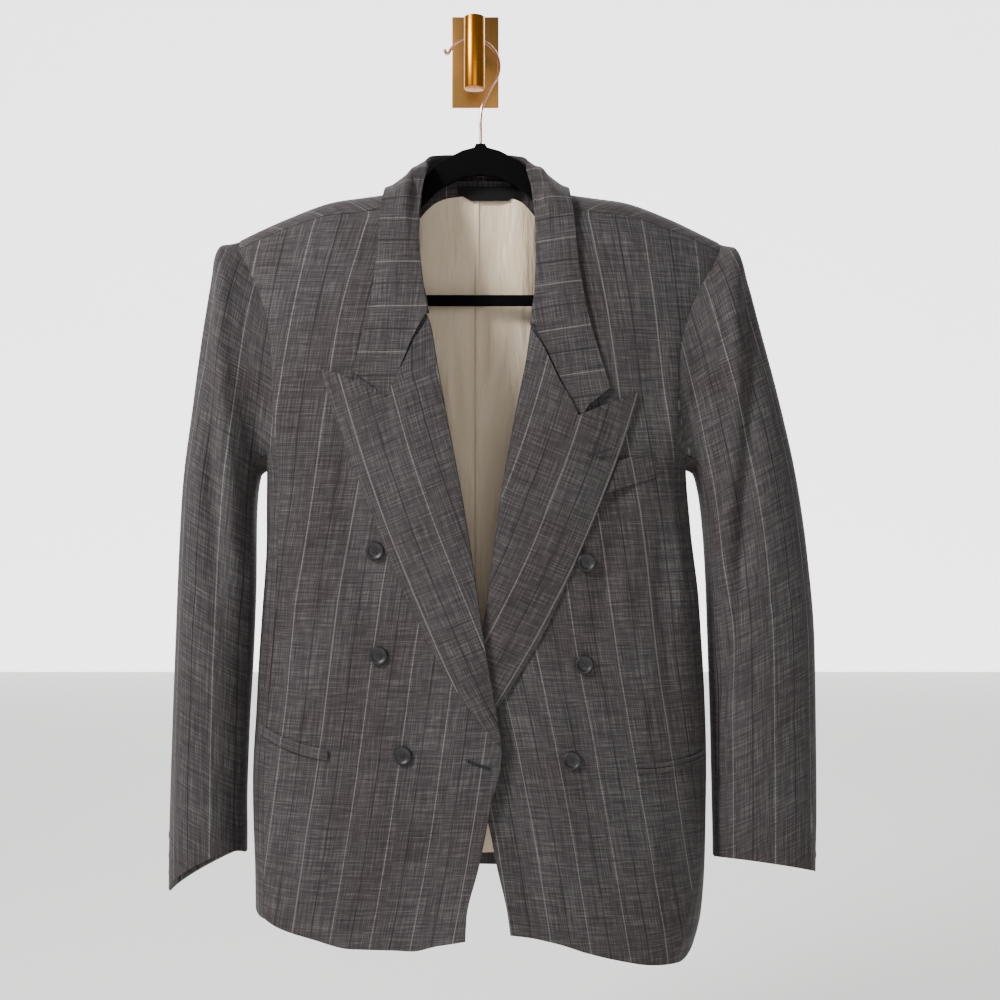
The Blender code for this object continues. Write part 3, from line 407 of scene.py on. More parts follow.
def on_front(side, x, z, over=0.0):
    """A point on the front, or lifted off it by over."""
    _, upward = dome(x, z)
    depth = front_depth(side, x, z) + over * np.sqrt(1.0 - upward * upward)
    return np.stack(np.broadcast_arrays(x, -depth, z + over * upward), axis=-1)


def normals(grid):
    """Unit normals of a grid of points."""
    down = np.gradient(grid, axis=0)
    across = np.gradient(grid, axis=1)
    found = np.cross(down, across)
    return found / np.maximum(np.linalg.norm(found, axis=-1, keepdims=True), 1e-12)


def inner_x(side, z):
    return read(INNER, side_name(side), z)


def outer_x(side, z, face="front"):
    return side * read(OUTER, f"{face}_{side_name(side)}", z)


def shoulder_seam_z(x):
    return read(RIDGE, "z", from_middle(x)) - read(RIDGE, "seam_drop", from_middle(x))


def hem_z(side, x):
    return read(HEM_RIGHT if side == RIGHT else HEM_LEFT, "z", x)


def settle(height_at, across, side, start):
    """Height on a boundary for each share of the width between a front's two edges."""
    z = np.full_like(across, start)
    for _ in range(12):
        x = inner_x(side, z) * (1 - across) + outer_x(side, z) * across
        z = height_at(x)
    return z


def top_turn(x):
    """Angle over the shoulder, from its ridge to the back, of the back panel's top edge."""
    drop = read(RIDGE, "seam_drop", from_middle(x))
    return -np.sign(drop) * np.arccos(1 - np.abs(drop) / SHOULDER_ROUND)


DARK_YARN = "#1d1a1b"
MID_YARN = "#3b3738"
PALE_YARN = "#5f5b5b"
WARM_CAST = "#f3eaea"
PALE_STRIPE = "#817c7b"
DARK_STRIPE = "#131112"


def added(tree, first, second):
    """The sum of two sockets."""
    return node(tree, "ShaderNodeMath", None, {0: first, 1: second}).outputs[0]


def worsted_cloth():
    # Worsted: a smooth plain weave of combed wool, mid grey from dark and light yarns with
    # slubs both ways, a fine pale and a fine black stripe in turn. Matte, with a faint fuzz.
    made, tree, shader = finish("pinstriped_worsted", Roughness=0.86)
    shader.inputs["Sheen Weight"].default_value = 0.12
    shader.inputs["Sheen Roughness"].default_value = 0.5
    shader.inputs["Sheen Tint"].default_value = linear("#a7a2a4")
    shader.inputs["Specular IOR Level"].default_value = 0.25
    cut = node(tree, "ShaderNodeUVMap", uv_map="cloth").outputs[0]
    fine = 1 / SLUB
    yarns = []
    for scale in ((fine, 55, 1), (60, fine, 1), (fine * 0.4, 16, 1), (20, fine * 0.36, 1)):
        yarns.append(node(tree, "ShaderNodeTexNoise",
                          {"Scale": 1.0, "Detail": 1.5, "Roughness": 0.55},
                          {"Vector": scaled(tree, cut, scale)}, noise_dimensions="2D").outputs[0])
    woven = added(tree, added(tree, yarns[0], yarns[1]), added(tree, yarns[2], yarns[3]))
    tone = node(tree, "ShaderNodeMapRange", {"From Min": 1.25, "From Max": 2.75},
                {"Value": woven}).outputs[0]
    ramp = node(tree, "ShaderNodeValToRGB", None, {"Fac": tone})
    stops = ramp.color_ramp.elements
    stops[0].color = linear(DARK_YARN)
    stops[1].color = linear(PALE_YARN)
    stops.new(0.5).color = linear(MID_YARN)
    warm = node(tree, "ShaderNodeTexNoise", {"Scale": 9.0, "Detail": 1.0},
                {"Vector": cut}, noise_dimensions="2D")
    shade = node(tree, "ShaderNodeMapRange", {"From Min": 0.4, "From Max": 0.65},
                 {"Value": warm.outputs[0]}).outputs[0]
    cast = node(tree, "ShaderNodeMix", {"B": linear(WARM_CAST)},
                {"Factor": shade, "A": ramp.outputs[0]}, data_type="RGBA", blend_type="MULTIPLY")
    # Stripes: a distance to the nearest one, in metres, turned to a thin soft line.
    across = node(tree, "ShaderNodeSeparateXYZ", None, {0: cut}).outputs[0]
    half = node(tree, "ShaderNodeMath", {1: STRIPE / 2}, {0: across}, operation="PINGPONG")
    broken = node(tree, "ShaderNodeMapRange", {"From Min": 0.35, "From Max": 0.6, "To Min": 0.35},
                  {"Value": yarns[1]}).outputs[0]
    colour = cast.outputs["Result"]
    edge = STRIPE_WIDE / 2
    middle = STRIPE / 2
    for ends, hue, weight in (((edge * 1.5, edge * 0.5), PALE_STRIPE, 0.65),
                              ((middle - edge * 1.8, middle - edge * 0.7), DARK_STRIPE, 0.85)):
        line = node(tree, "ShaderNodeMapRange",
                    {"From Min": ends[0], "From Max": ends[1], "To Max": weight},
                    {"Value": half.outputs[0]})
        shown = node(tree, "ShaderNodeMath", None, {0: line.outputs[0], 1: broken},
                     operation="MULTIPLY")
        colour = node(tree, "ShaderNodeMix", {"B": linear(hue)},
                      {"Factor": shown.outputs[0], "A": colour},
                      data_type="RGBA").outputs["Result"]
    tree.links.new(colour, shader.inputs["Base Color"])
    lift = node(tree, "ShaderNodeBump", {"Strength": 0.35, "Distance": 0.0003},
                {"Height": woven})
    tree.links.new(lift.outputs[0], shader.inputs["Normal"])
    return made


worsted = worsted_cloth()


def shell(grid, cut, thick, inset):
    """A closed wall of cloth from its outer face's grid, with its cut's places as a UV map.

    The inner face ends a little before the outer one, as a turned seam allowance does.
    """
    rows, columns = grid.shape[:2]
    inner = grid - normals(grid) * thick
    for axis, length in ((0, rows), (1, columns)):
        for end, step in ((0, 1), (length - 1, -1)):
            far = end + step * (2 if inset > 0.002 else 1)
            here = np.take(inner, end, axis=axis)
            toward = np.take(inner, min(max(far, 0), length - 1), axis=axis) - here
            size = np.maximum(np.linalg.norm(toward, axis=-1, keepdims=True), 1e-9)
            moved = here + toward * np.minimum(inset / size, 0.45)
            if axis == 0:
                inner[end] = moved
            else:
                inner[:, end] = moved
    count = rows * columns
    at = np.arange(count).reshape(rows, columns)
    a, b, c, d = at[:-1, :-1], at[1:, :-1], at[1:, 1:], at[:-1, 1:]
    outside = np.stack((a, b, c, d), axis=-1).reshape(-1, 4)
    inside = np.stack((a, d, c, b), axis=-1).reshape(-1, 4) + count
    rim = np.concatenate((at[:, 0], at[-1, 1:], at[-2::-1, -1], at[0, -2:0:-1]))
    after = np.roll(rim, -1)
    edge = np.stack((rim, rim + count, after + count, after), axis=-1)
    faces = np.concatenate((outside, inside, edge))
    mesh = bpy.data.meshes.new("cloth")
    points = np.concatenate((grid.reshape(-1, 3), inner.reshape(-1, 3)))
    mesh.from_pydata(points.tolist(), [], faces.tolist())
    layer = mesh.uv_layers.new(name="cloth")
    places = np.concatenate((cut.reshape(-1, 2), cut.reshape(-1, 2)))
    layer.data.foreach_set("uv", places[faces.ravel()].ravel().astype(np.float32))
    return mesh


def cloth(name, grid, cut, slot="worsted", material=None, thick=CLOTH,
          inset=0.0012, nodes=None):
    """A cloth piece that stands for the CAD node of its name."""
    mesh = shell(grid, cut, thick, inset)
    made = place(f"{name}_cloth", mesh, material or worsted, slot, *(nodes or [name]))
    return made


def refined(grid, rows, columns):
    """A grid with more rows and columns, on smooth curves through its points."""
    grid = cubic(np.linspace(0, 1, grid.shape[0]), grid, np.linspace(0, 1, rows))
    grid = np.swapaxes(grid, 0, 1)
    grid = cubic(np.linspace(0, 1, grid.shape[0]), grid, np.linspace(0, 1, columns))
    return np.swapaxes(grid, 0, 1)


DRAPE = 1.9               # how much the folds are deepened, all together


def pressed(grid, creases, face=1, drape=DRAPE):
    """Move a grid's points along its normals by soft troughs and ridges.

    A crease is a line of x, z points in millimetres with its width and height; it fades to
    its ends, wavers a little, and only marks points that face forwards, or backwards.
    """
    away = normals(grid)
    facing = np.clip(-away[..., 1] * face * 1.6 + 0.1, 0.0, 1.0)
    total = np.zeros(grid.shape[:2])
    for k, (line, width, height) in enumerate(creases):
        line = np.array(line, dtype=float) * MM
        reach = np.concatenate([[0], np.cumsum(np.linalg.norm(np.diff(line, axis=0), axis=1))])
        near = np.full(grid.shape[:2], 1e9)
        along = np.zeros(grid.shape[:2])
        for i in range(len(line) - 1):
            step = line[i + 1] - line[i]
            away_x, away_z = grid[..., 0] - line[i][0], grid[..., 2] - line[i][1]
            t = np.clip((away_x * step[0] + away_z * step[1]) / (step @ step), 0, 1)
            gap = np.hypot(away_x - t * step[0], away_z - t * step[1])
            closer = gap < near
            near = np.where(closer, gap, near)
            along = np.where(closer, (reach[i] + t * (reach[i + 1] - reach[i])) / reach[-1], along)
        height = height * drape
        fade = np.clip(np.sin(math.pi * np.clip(along, 0.02, 0.98)), 0, 1) ** 0.6
        waver = 1 + 0.25 * np.sin(9 * along + 2.1 * k) + 0.12 * np.sin(23 * along + k)
        total += height * MM * fade * waver * np.exp(-(near / (width * MM)) ** 2)
    return grid + away * (total * facing)[..., None]


def hung(grid, depth, seed):
    """Give a grid the slow uneven swell that hung cloth has, none of it at the piece's edges."""
    rows, columns = grid.shape[:2]
    v = np.linspace(0, 1, rows)[:, None]
    u = np.linspace(0, 1, columns)[None, :]
    swell = (np.sin(7.1 * u + 2.0 * v + seed) * np.sin(3.3 * v + 1.7 * seed)
             + 0.6 * np.sin(13.7 * u - 4.1 * v + 2 * seed)
             + 0.4 * np.sin(5.2 * u + 17.3 * v + 3 * seed))
    still = np.clip(np.minimum(u, 1 - u) * 9, 0, 1) * np.clip(np.minimum(v, 1 - v) * 12, 0, 1)
    return grid + normals(grid) * (depth * swell * still)[..., None]


def lengths(grid, axis):
    """How far each point lies along the cloth from the first row or column."""
    step = np.linalg.norm(np.diff(grid, axis=axis), axis=-1)
    zero = np.zeros_like(np.take(step, [0], axis=axis))
    return np.concatenate((zero, np.cumsum(step, axis=axis)), axis=axis)


def level_lengths(grid, height=-0.45):
    """Lengths down the cloth, set so that they agree across it at one height."""
    down = lengths(grid, 0)
    for k in range(grid.shape[1]):
        down[:, k] -= np.interp(-height, -grid[:, k, 2], down[:, k]) + height
    return down


def back_panel(side):
    """Half the back, from the shoulder seam over the ridge and down to the hem."""
    tip_x = abs(outer_x(side, -0.2215, "back") - MIDDLE_X)
    across = np.linspace(0, 1, 90)
    x_top = MIDDLE_X + side * (tip_x * across)
    x_top[0] += side * SEAM / 2
    start = top_turn(x_top) + 0.006
    grid = []
    for t in np.linspace(0, 1, 26):
        turn = start + (math.radians(90.0) - start) * t
        z = read(RIDGE, "z", from_middle(x_top)) - SHOULDER_ROUND * (1 - np.cos(turn))
        x = MIDDLE_X + (outer_x(side, np.minimum(z, -0.2215), "back") - MIDDLE_X) * across
        x[0] += side * SEAM / 2
        waist = read(BODY, "waist", z)
        share = np.clip(np.abs(x) / half_width(side, z), 0.0, 1.0)
        front = (read(BODY, "crown", z) - waist) * (1 - share**3) ** (1 / 3)
        rear = (waist - read(BODY, "back", z)) * (1 - share**4) ** 0.25
        depth = waist - np.where(turn < 0, front, rear) * np.sin(turn)
        grid.append(np.stack((x, -depth, z), axis=-1))
    z_flat = grid[-1][:, 2]
    hem = BACK_HEM_Z - 0.004 * across
    for down in np.linspace(0, 1, 90)[1:]:
        z = z_flat + (hem - z_flat) * down
        x = MIDDLE_X + (outer_x(side, z, "back") - side * SEAM - MIDDLE_X) * across
        x[0] += side * SEAM / 2
        grid.append(np.stack((x, -back_depth(side, x, z), z), axis=-1))
    grid = np.array(grid)
    u = lengths(grid, 1) + STRIPE / 4
    v = level_lengths(grid) + 0.7 * side     # the halves show other parts of the weave
    cut = np.stack((u, v), axis=-1)
    if side == LEFT:
        grid, cut = grid[:, ::-1], cut[:, ::-1]
    grid = hung(grid, 0.0006, 1.0 + side)
    grid = pressed(grid, BACK_CREASES[side], face=-1)
    cloth(f"back_{side_name(side)}", grid, cut)


# Soft drapes on the back: down from the shoulder blades and across the waist
BACK_CREASES = {
    RIGHT: [([(-190, -300), (-150, -420), (-120, -560)], 16, -1.6),
            ([(-60, -260), (-70, -420), (-60, -640)], 22, 1.2),
            ([(-185, -520), (-120, -560), (-50, -575)], 12, -1.0),
            ([(-150, -640), (-140, -760), (-135, -885)], 20, 1.4)],
    LEFT: [([(200, -300), (165, -420), (130, -560)], 16, -1.6),
           ([(70, -250), (80, -420), (70, -660)], 22, 1.1),
           ([(195, -530), (130, -565), (60, -580)], 12, -1.0),
           ([(150, -640), (145, -760), (150, -885)], 20, 1.4)],
}
for side in (RIGHT, LEFT):
    back_panel(side)


# Side panels: one piece of worsted under each arm, between the front's and the back's side
# seams, with no side seam of its own.

def seam_turn(side, face, z):
    """Angle round the body's section at which a side seam runs: 0 front, 90 side, 180 back."""
    power = FRONT_POWER if face == "front" else BACK_POWER
    share = np.abs(outer_x(side, z, face)) / half_width(side, z)
    turn = np.arcsin(np.clip(share, 0.0, 1.0) ** (power / 2))
    return turn if face == "front" else math.pi - turn


def section_point(side, turn, z):
    """A point on the body's section at an angle round it."""
    ahead = turn <= math.pi / 2
    power = np.where(ahead, FRONT_POWER, BACK_POWER)
    waist = read(BODY, "waist", z)
    reach = np.where(ahead, read(BODY, "crown", z) - waist, read(BODY, "back", z) - waist)
    x = side * half_width(side, z) * np.abs(np.sin(turn)) ** (2 / power)
    depth = waist + reach * np.abs(np.cos(turn)) ** (2 / power)
    return np.stack((x, -depth, z), axis=-1)


def side_hem_z(side, share):
    """Hem of a side panel: it runs up from the front's hem to the back's."""
    start = hem_z(side, outer_x(side, -0.94))
    return start + (BACK_HEM_Z - 0.004 - start) * ease(0.0, 1.0, share)


for side in (RIGHT, LEFT):
    share = np.linspace(0.0, 1.0, 50)[None, :]
    down = np.linspace(0, 1, 90)[:, None] ** 1.1
    top = UNDERARM_Z - UNDERARM_DIP * np.sin(math.pi * share) - SEAM
    z = top + down * (side_hem_z(side, share) - top)
    first = seam_turn(side, "front", z)
    last = seam_turn(side, "back", z)
    rim = 0.0
    grid = section_point(side, first + (last - first) * (rim + (1 - 2 * rim) * share), z)
    cut = np.stack((lengths(grid, 1) + STRIPE * 0.3, -grid[..., 2]), axis=-1)
    if side == RIGHT:
        grid, cut = grid[:, ::-1], cut[:, ::-1]
    cloth(f"side_panel_{side_name(side)}", hung(grid, 0.0007, 4.0 + side), cut)


# Fronts: one piece of worsted on canvas a side, from the shoulder to the hem, with a dart
# from under the chest to the pocket. The right one laps over the left.

# Where the pale stripes run: at each height, the place of a named stripe and the repeat
STRIPES_RIGHT = table("z place repeat", [
    (-190, -54, 57), (-284, -85, 51), (-387, -103, 49.5), (-492, -122, 45), (-594, -139, 43.4),
    (-697, -151, 42.2), (-800, -164, 41.8), (-872, -174, 41.3), (-950, -187, 40.8),
])
STRIPES_LEFT = table("z place repeat", [
    (-190, 121, 56.5), (-284, 138, 50.5), (-387, 152, 47), (-492, 171, 44.6), (-543, 178, 43.4),
    (-645, 189, 41.3), (-749, 204, 39.3), (-852, 219, 38.2), (-955, 237, 38.7),
])
# Drapes and creases of the fronts, from the chest, the armhole, the dart and the lapped edge
FRONT_CREASES = {
    RIGHT: [([(-140, -380), (-132, -470), (-118, -560), (-100, -640)], 15, -2.4),
            ([(-205, -300), (-200, -380), (-196, -470)], 10, 1.6),
            ([(-212, -470), (-190, -600), (-176, -700)], 16, 1.4),
            ([(-205, -520), (-198, -620), (-204, -720)], 8, -1.6),
            ([(-60, -640), (-90, -740), (-96, -860)], 20, 1.7),
            ([(-20, -760), (-40, -850), (-44, -930)], 14, -1.5),
            ([(-170, -790), (-160, -860), (-150, -930)], 20, 1.6),
            ([(-70, -748), (-100, -758), (-128, -780)], 7, -0.9),
            ([(-60, -230), (-70, -290), (-76, -330)], 9, -1.4)],
    LEFT: [([(152, -400), (150, -480), (140, -560), (122, -640)], 14, -2.2),
           ([(205, -300), (206, -380), (200, -470)], 10, 1.5),
           ([(212, -480), (215, -600), (222, -700)], 13, 1.9),
           ([(196, -520), (198, -610), (206, -700)], 8, -1.6),
           ([(60, -640), (80, -740), (92, -860)], 20, 1.8),
           ([(30, -780), (54, -850), (60, -935)], 14, -1.6),
           ([(175, -800), (180, -870), (190, -945)], 20, 1.7),
           ([(100, -754), (130, -766), (160, -790)], 7, -0.9),
           ([(110, -250), (112, -320), (118, -380)], 11, -1.5)],
}
# The dart ends at the pocket: a narrow groove with the cloth swelling beside it
DART = {RIGHT: [(-172, -700), (-168, -742)], LEFT: [(180, -689), (189, -745)]}


def striped(x, z, stripes):
    """Where a point of a front lies across its cut, in metres, from the stripes' table."""
    return (x - read(stripes, "place", z)) / read(stripes, "repeat", z) * STRIPE


for side, stripes in ((RIGHT, STRIPES_RIGHT), (LEFT, STRIPES_LEFT)):
    u = np.linspace(0.0015, 0.9985, 130)
    top = settle(shoulder_seam_z, u, side, -0.18) - SEAM
    low = settle(lambda x: hem_z(side, x), u, side, -0.93)
    z = top[None, :] + np.linspace(0, 1, 250)[:, None] * (low - top)[None, :]
    x = inner_x(side, z) * (1 - u) + outer_x(side, z) * u
    grid = on_front(side, x, z)
    cut = np.stack((striped(x, z, stripes), level_lengths(grid)), axis=-1)
    if side == RIGHT:
        grid, cut = grid[:, ::-1], cut[:, ::-1]
    grid = hung(grid, 0.0005, 2.0 + side)
    grid = pressed(grid, FRONT_CREASES[side])
    grid = pressed(grid, [(DART[side], 1.6, -1.3), (DART[side], 9, 1.0)], drape=1.0)
    cloth(f"front_{side_name(side)}", grid, cut)


# Sleeves: two pieces each, the top sleeve over the arm and the narrower undersleeve behind
# it, set into the armhole with a little fullness at the head, with a buttoned vent's lap.

CUFF_RISE = {RIGHT: 0.020, LEFT: 0.012}  # how far the front of each cuff is drawn up
BACK_SEAM_TOP = -75.0
BACK_SEAM_CUFF = -22.0
FRONT_SEAM_TOP = 150.0
FRONT_SEAM_CUFF = 165.0
SLEEVE_STEPS = 10
ARMHOLE_EASE = {RIGHT: -0.0004, LEFT: -0.0004}   # a seam here: the head tucks in
ARM_HALF = 0.054          # half the width and depth of a sleeve
ARM_DEEP = 0.056

# Sleeves: a ring at each step, through its outer and inner points, with its middle's depth
SLEEVE_NAMES = "step outer_x outer_z inner_x inner_z depth half_depth"
SLEEVE_RIGHT = [
    (0, -256, -219, -213, -454, 54, 44), (1, -271, -218, -226, -459, 57, 46),
    (2, -280, -255, -229, -464, 60, 46), (3, -289, -310, -230, -472, 61, 46),
    (4, -299, -390, -232, -490, 62, 47), (5, -309, -470, -233, -520, 63, 48),
    (6, -314, -550, -233, -570, 64, 48), (7, -318, -640, -235, -645, 65, 47),
    (8, -321, -735, -240, -735, 66, 46), (9, -323, -845, -243, -820, 67, 44),
    (10, -323, -905, -243, -864, 68, 43),
]
SLEEVE_LEFT = [
    (0, 266, -219, 218, -454, 54, 44), (1, 279, -219, 231, -459, 57, 46),
    (2, 292, -256, 235, -464, 60, 46), (3, 304, -305, 238, -472, 61, 46),
    (4, 324, -385, 242, -490, 62, 47), (5, 342, -468, 245, -520, 63, 48),
    (6, 353, -545, 248, -570, 64, 48), (7, 360, -635, 251, -645, 65, 48),
    (8, 361, -730, 254, -735, 66, 47), (9, 362, -830, 255, -820, 67, 45),
    (10, 362, -884, 255, -868, 68, 44),
]


def armhole(side, turn):
    """A point on the armhole, by the angle from the shoulder over the front to the underarm."""
    turn = turn % (2 * math.pi)
    face = "front" if turn < math.pi else "back"
    tip = outer_x(side, -0.2215)
    top = read(RIDGE, "z", from_middle(tip)) - 0.0002
    low = UNDERARM_Z - UNDERARM_DIP
    z = top + (low - top) * (1 - math.cos(turn)) / 2
    if z >= UNDERARM_Z:
        x = outer_x(side, z, face)
        depth = front_depth(side, x, z) if face == "front" else back_depth(side, x, z)
        return np.array([x, -depth, z])
    share = math.asin(min(1.0, (UNDERARM_Z - z) / UNDERARM_DIP)) / math.pi
    share = share if face == "front" else 1 - share
    first = seam_turn(side, "front", z)
    last = seam_turn(side, "back", z)
    return section_point(side, first + (last - first) * share, np.array(z))


def sleeve_point(side, source, step, turn):
    """A point on a sleeve: rings through its outer and inner lines, on to the armhole."""
    outer = np.array([read(source, "outer_x", step), read(source, "outer_z", step)])
    inner = np.array([read(source, "inner_x", step), read(source, "inner_z", step)])
    middle = (outer + inner) / 2
    arm = (outer - inner) / 2
    c, s = math.cos(turn), math.sin(turn)
    wide = abs(c) ** 0.85 * math.copysign(1, c)
    deep = abs(s) ** 0.85 * math.copysign(1, s)
    place = middle + arm * wide
    depth = read(source, "depth", step) + read(source, "half_depth", step) * deep
    rise = CUFF_RISE[side] * ease(8.0, 10.0, step / MM) * max(0.0, s)
    at = np.array([place[0], -depth, place[1] + rise])
    share = max(0.0, 1 - step / (1.6 * MM)) ** 2
    if share > 0:
        at = at * (1 - share) + armhole(side, turn) * share
        at[0] += side * share * ARMHOLE_EASE[side] * (1.5 - 0.4 * c)
    return at


def sleeve_frame(side, step, turn):
    """A point on a sleeve with its outward direction, for what is sewn on it."""
    source = table(SLEEVE_NAMES, SLEEVE_RIGHT if side == RIGHT else SLEEVE_LEFT)
    at = sleeve_point(side, source, step, turn)
    along = sleeve_point(side, source, step + 0.05 * MM, turn) - at
    round_it = sleeve_point(side, source, step, turn + 0.02) - at
    out = np.cross(along, round_it)
    out = out / np.linalg.norm(out)
    if out[0] * side < 0:
        out = -out
    return at, out


# Long folds and the drag lines of the sleeves: line, width, height
SLEEVE_CREASES = {
    RIGHT: [([(-262, -242), (-263, -330), (-258, -400), (-250, -480), (-243, -620)], 9, 3.4),
            ([(-277, -250), (-278, -340), (-272, -430), (-262, -620)], 9, -3.6),
            ([(-240, -330), (-225, -420), (-236, -500)], 8, -1.6),
            ([(-300, -560), (-270, -600), (-246, -620)], 8, -1.5),
            ([(-300, -690), (-272, -700), (-245, -735)], 9, -1.6),
            ([(-290, -620), (-262, -680), (-250, -760)], 12, 1.8),
            ([(-296, -760), (-276, -800), (-260, -850)], 14, 1.5)],
    LEFT: [([(268, -250), (273, -330), (273, -400), (267, -465), (260, -600)], 9, 3.4),
           ([(286, -258), (290, -336), (289, -387), (284, -451), (278, -505), (274, -594),
             (254, -735)], 8, -4.4),
           ([(240, -330), (226, -400), (238, -480)], 8, -1.5),
           ([(228, -352), (246, -342), (266, -318)], 6, -1.8),
           ([(225, -372), (250, -360), (270, -340)], 6, 1.4),
           ([(340, -560), (300, -600), (268, -640)], 9, -1.8),
           ([(262, -640), (254, -720), (258, -800)], 10, -2.4),
           ([(300, -640), (292, -740), (300, -840)], 16, 1.9),
           ([(340, -700), (320, -730), (280, -740)], 9, -1.5)],
}


def side_run(side, source, grid):
    """How far round the arm a point lies from the sleeve's outer line."""
    line = np.linspace(0, SLEEVE_STEPS, 60) * MM
    outer_z = -read(source, "outer_z", line)
    outside = np.interp(-grid[..., 2], outer_z, read(source, "outer_x", line))
    share = np.clip(side * (outside - grid[..., 0]) / (2 * ARM_HALF), 0, 1)
    turn = np.linspace(0, math.pi, 90)
    pace = np.hypot(ARM_HALF * np.sin(turn), ARM_DEEP * np.cos(turn))
    arc_run = np.concatenate([[0], np.cumsum((pace[1:] + pace[:-1]) / 2 * (turn[1] - turn[0]))])
    around = np.interp(np.arccos(1 - 2 * share), turn, arc_run)
    facing = np.where(np.arange(grid.shape[1]) >= grid.shape[1] // 3, 1.0, -1.0)
    return around * facing[None, :]


for side, rows in ((RIGHT, SLEEVE_RIGHT), (LEFT, SLEEVE_LEFT)):
    source = table(SLEEVE_NAMES, rows)
    steps = np.concatenate((np.linspace(0, 2, 14), np.linspace(2, SLEEVE_STEPS, 30)[1:])) * MM
    for name, columns, flat, area in (("top_sleeve", 26, (0.20, 0.68), 0.105),
                                      ("under_sleeve", 18, (0.15, 0.58), 0.07)):
        grid = []
        for step in steps:
            along = step / (SLEEVE_STEPS * MM)
            back = math.radians(BACK_SEAM_TOP + (BACK_SEAM_CUFF - BACK_SEAM_TOP) * along)
            front = math.radians(FRONT_SEAM_TOP + (FRONT_SEAM_CUFF - FRONT_SEAM_TOP) * along)
            gap = 0.006
            first, last = back + gap, front - gap
            if name == "under_sleeve":
                first, last = front + gap, back + 2 * math.pi - gap
            grid.append([sleeve_point(side, source, step, turn)
                         for turn in np.linspace(first, last, columns)])
        grid = np.array(grid)
        across = lengths(grid, 1)
        middle_of = across[:, [columns // 3]]
        down = lengths(grid, 0)
        down = down - down[[24]] + down[24].mean()
        run = across - middle_of
        if name == "top_sleeve":
            run = side_run(side, source, grid)
        cut = np.stack((run + STRIPE * 0.2, down), axis=-1)
        both = refined(np.concatenate((grid, cut), axis=-1), 190, 90 if columns > 20 else 56)
        grid, cut = both[..., :3], both[..., 3:]
        if side == LEFT:
            grid, cut = grid[:, ::-1], cut[:, ::-1]
        grid = pressed(hung(grid, 0.0009, 6.0 + side), SLEEVE_CREASES[side], drape=1.4)
        cloth(f"{name}_{side_name(side)}", grid, cut, inset=0.0024)


# Lapels: worsted facing and front with canvas between, turned over at the roll line with a
# soft spring in the roll, and pressed flat to the peak. The left one has a buttonhole.

LAPEL_ROLL = 0.0045       # how high a lapel's roll stands over the front
GORGE_GAP = 0.0017        # gap between collar and lapel, measured upwards, along the slant

# Lapels: outer edge below the peak, and the top edge from the roll line over the notch's
# base to the peak's tip
LAPEL_EDGE_RIGHT = table("z x", [
    (-354, -157), (-364, -154.5), (-439, -130), (-489, -109), (-540, -90), (-621, -52),
    (-670, -24.5), (-704, 0), (-738, 26),
])
LAPEL_EDGE_LEFT = table("z x", [
    (-378, 171), (-388, 168.5), (-444, 149.7), (-489, 132.3), (-547, 107.6), (-630, 69.6),
    (-665, 48.6), (-702, 24), (-738, -1.6),
])
LAPEL_TOP_RIGHT = [(-44, -300), (-60, -323), (-70, -346), (-88, -384), (-110, -373), (-140, -358),
                   (-157, -354)]
LAPEL_TOP_LEFT = [(59, -312), (70, -328), (88, -366), (108, -402), (124, -395), (140, -389),
                  (171, -378)]


def lapel_edge_x(side, z):
    return read(LAPEL_EDGE_RIGHT if side == RIGHT else LAPEL_EDGE_LEFT, "x", z)


def lapel_top(side):
    """The lapel's top edge, from the roll line over the notch's base to the peak."""
    return np.array(LAPEL_TOP_RIGHT if side == RIGHT else LAPEL_TOP_LEFT) * MM


# A pale stripe's place at each height, and the repeat, on each lapel
LAPEL_STRIPES_RIGHT = table("z place repeat", [
    (-357, -139, 51), (-438, -115, 50), (-511, -90, 50), (-594, -56, 49), (-676, -19, 47),
    (-738, 14, 47),
])
LAPEL_STRIPES_LEFT = table("z place repeat", [
    (-300, 190, 51), (-378, 169, 51), (-438, 150, 51), (-490, 130, 51), (-547, 106, 50),
    (-594, 83, 50), (-640, 58, 49), (-738, -2, 47),
])
for side, stripes in ((RIGHT, LAPEL_STRIPES_RIGHT), (LEFT, LAPEL_STRIPES_LEFT)):
    corner = lapel_top(side)
    reach = lapel_edge_x(side, corner[:, 1]) - inner_x(side, corner[:, 1])
    share = (corner[:, 0] - inner_x(side, corner[:, 1])) / reach
    share[0], share[-1] = 0.0, 1.0
    across = np.sort(np.concatenate((np.linspace(0, 1, 74), share[1:-1])))
    start = np.interp(across, share, corner[:, 1]) - SEAM
    down = np.linspace(0, 1, 160)[:, None]
    z = start[None, :] + down * (BREAK_Z + 0.004 - start)[None, :]
    x = inner_x(side, z) * (1 - across) + lapel_edge_x(side, z) * across
    x = x + side * 0.001 * (1 - across)
    roll = LAPEL_ROLL * (1 - down) ** 0.5 * np.sin(math.pi * across) ** 0.8
    grid = on_front(side, x, z, LAYER + LAPEL + roll)
    cut = np.stack((striped(x, z, stripes), -side * 0.38 * x - 0.925 * z), axis=-1)
    if side == RIGHT:
        grid, cut = grid[:, ::-1], cut[:, ::-1]
    cloth(f"lapel_{side_name(side)}", grid, cut, thick=LAPEL, inset=0.0008)


# Collar: a stand and a fall in one, of worsted over melton and canvas, sewn to the neck
# and to the lapels at the gorge, and folded over so that the fall covers the neck seam.

NECK_ROLL = 0.012         # how far inside the neck the collar starts to rise over its seam
STAND_GAP = 0.0050        # how far the collar's stand starts over the back's neck seam
FALL_GAP = 0.0042         # extra room under the collar's fall where it crosses the shoulder
COLLAR_REPEAT = 0.0485    # the stripes spread a little round the collar
SPINE = 48                # the column of the fine grid along the middle of the fall

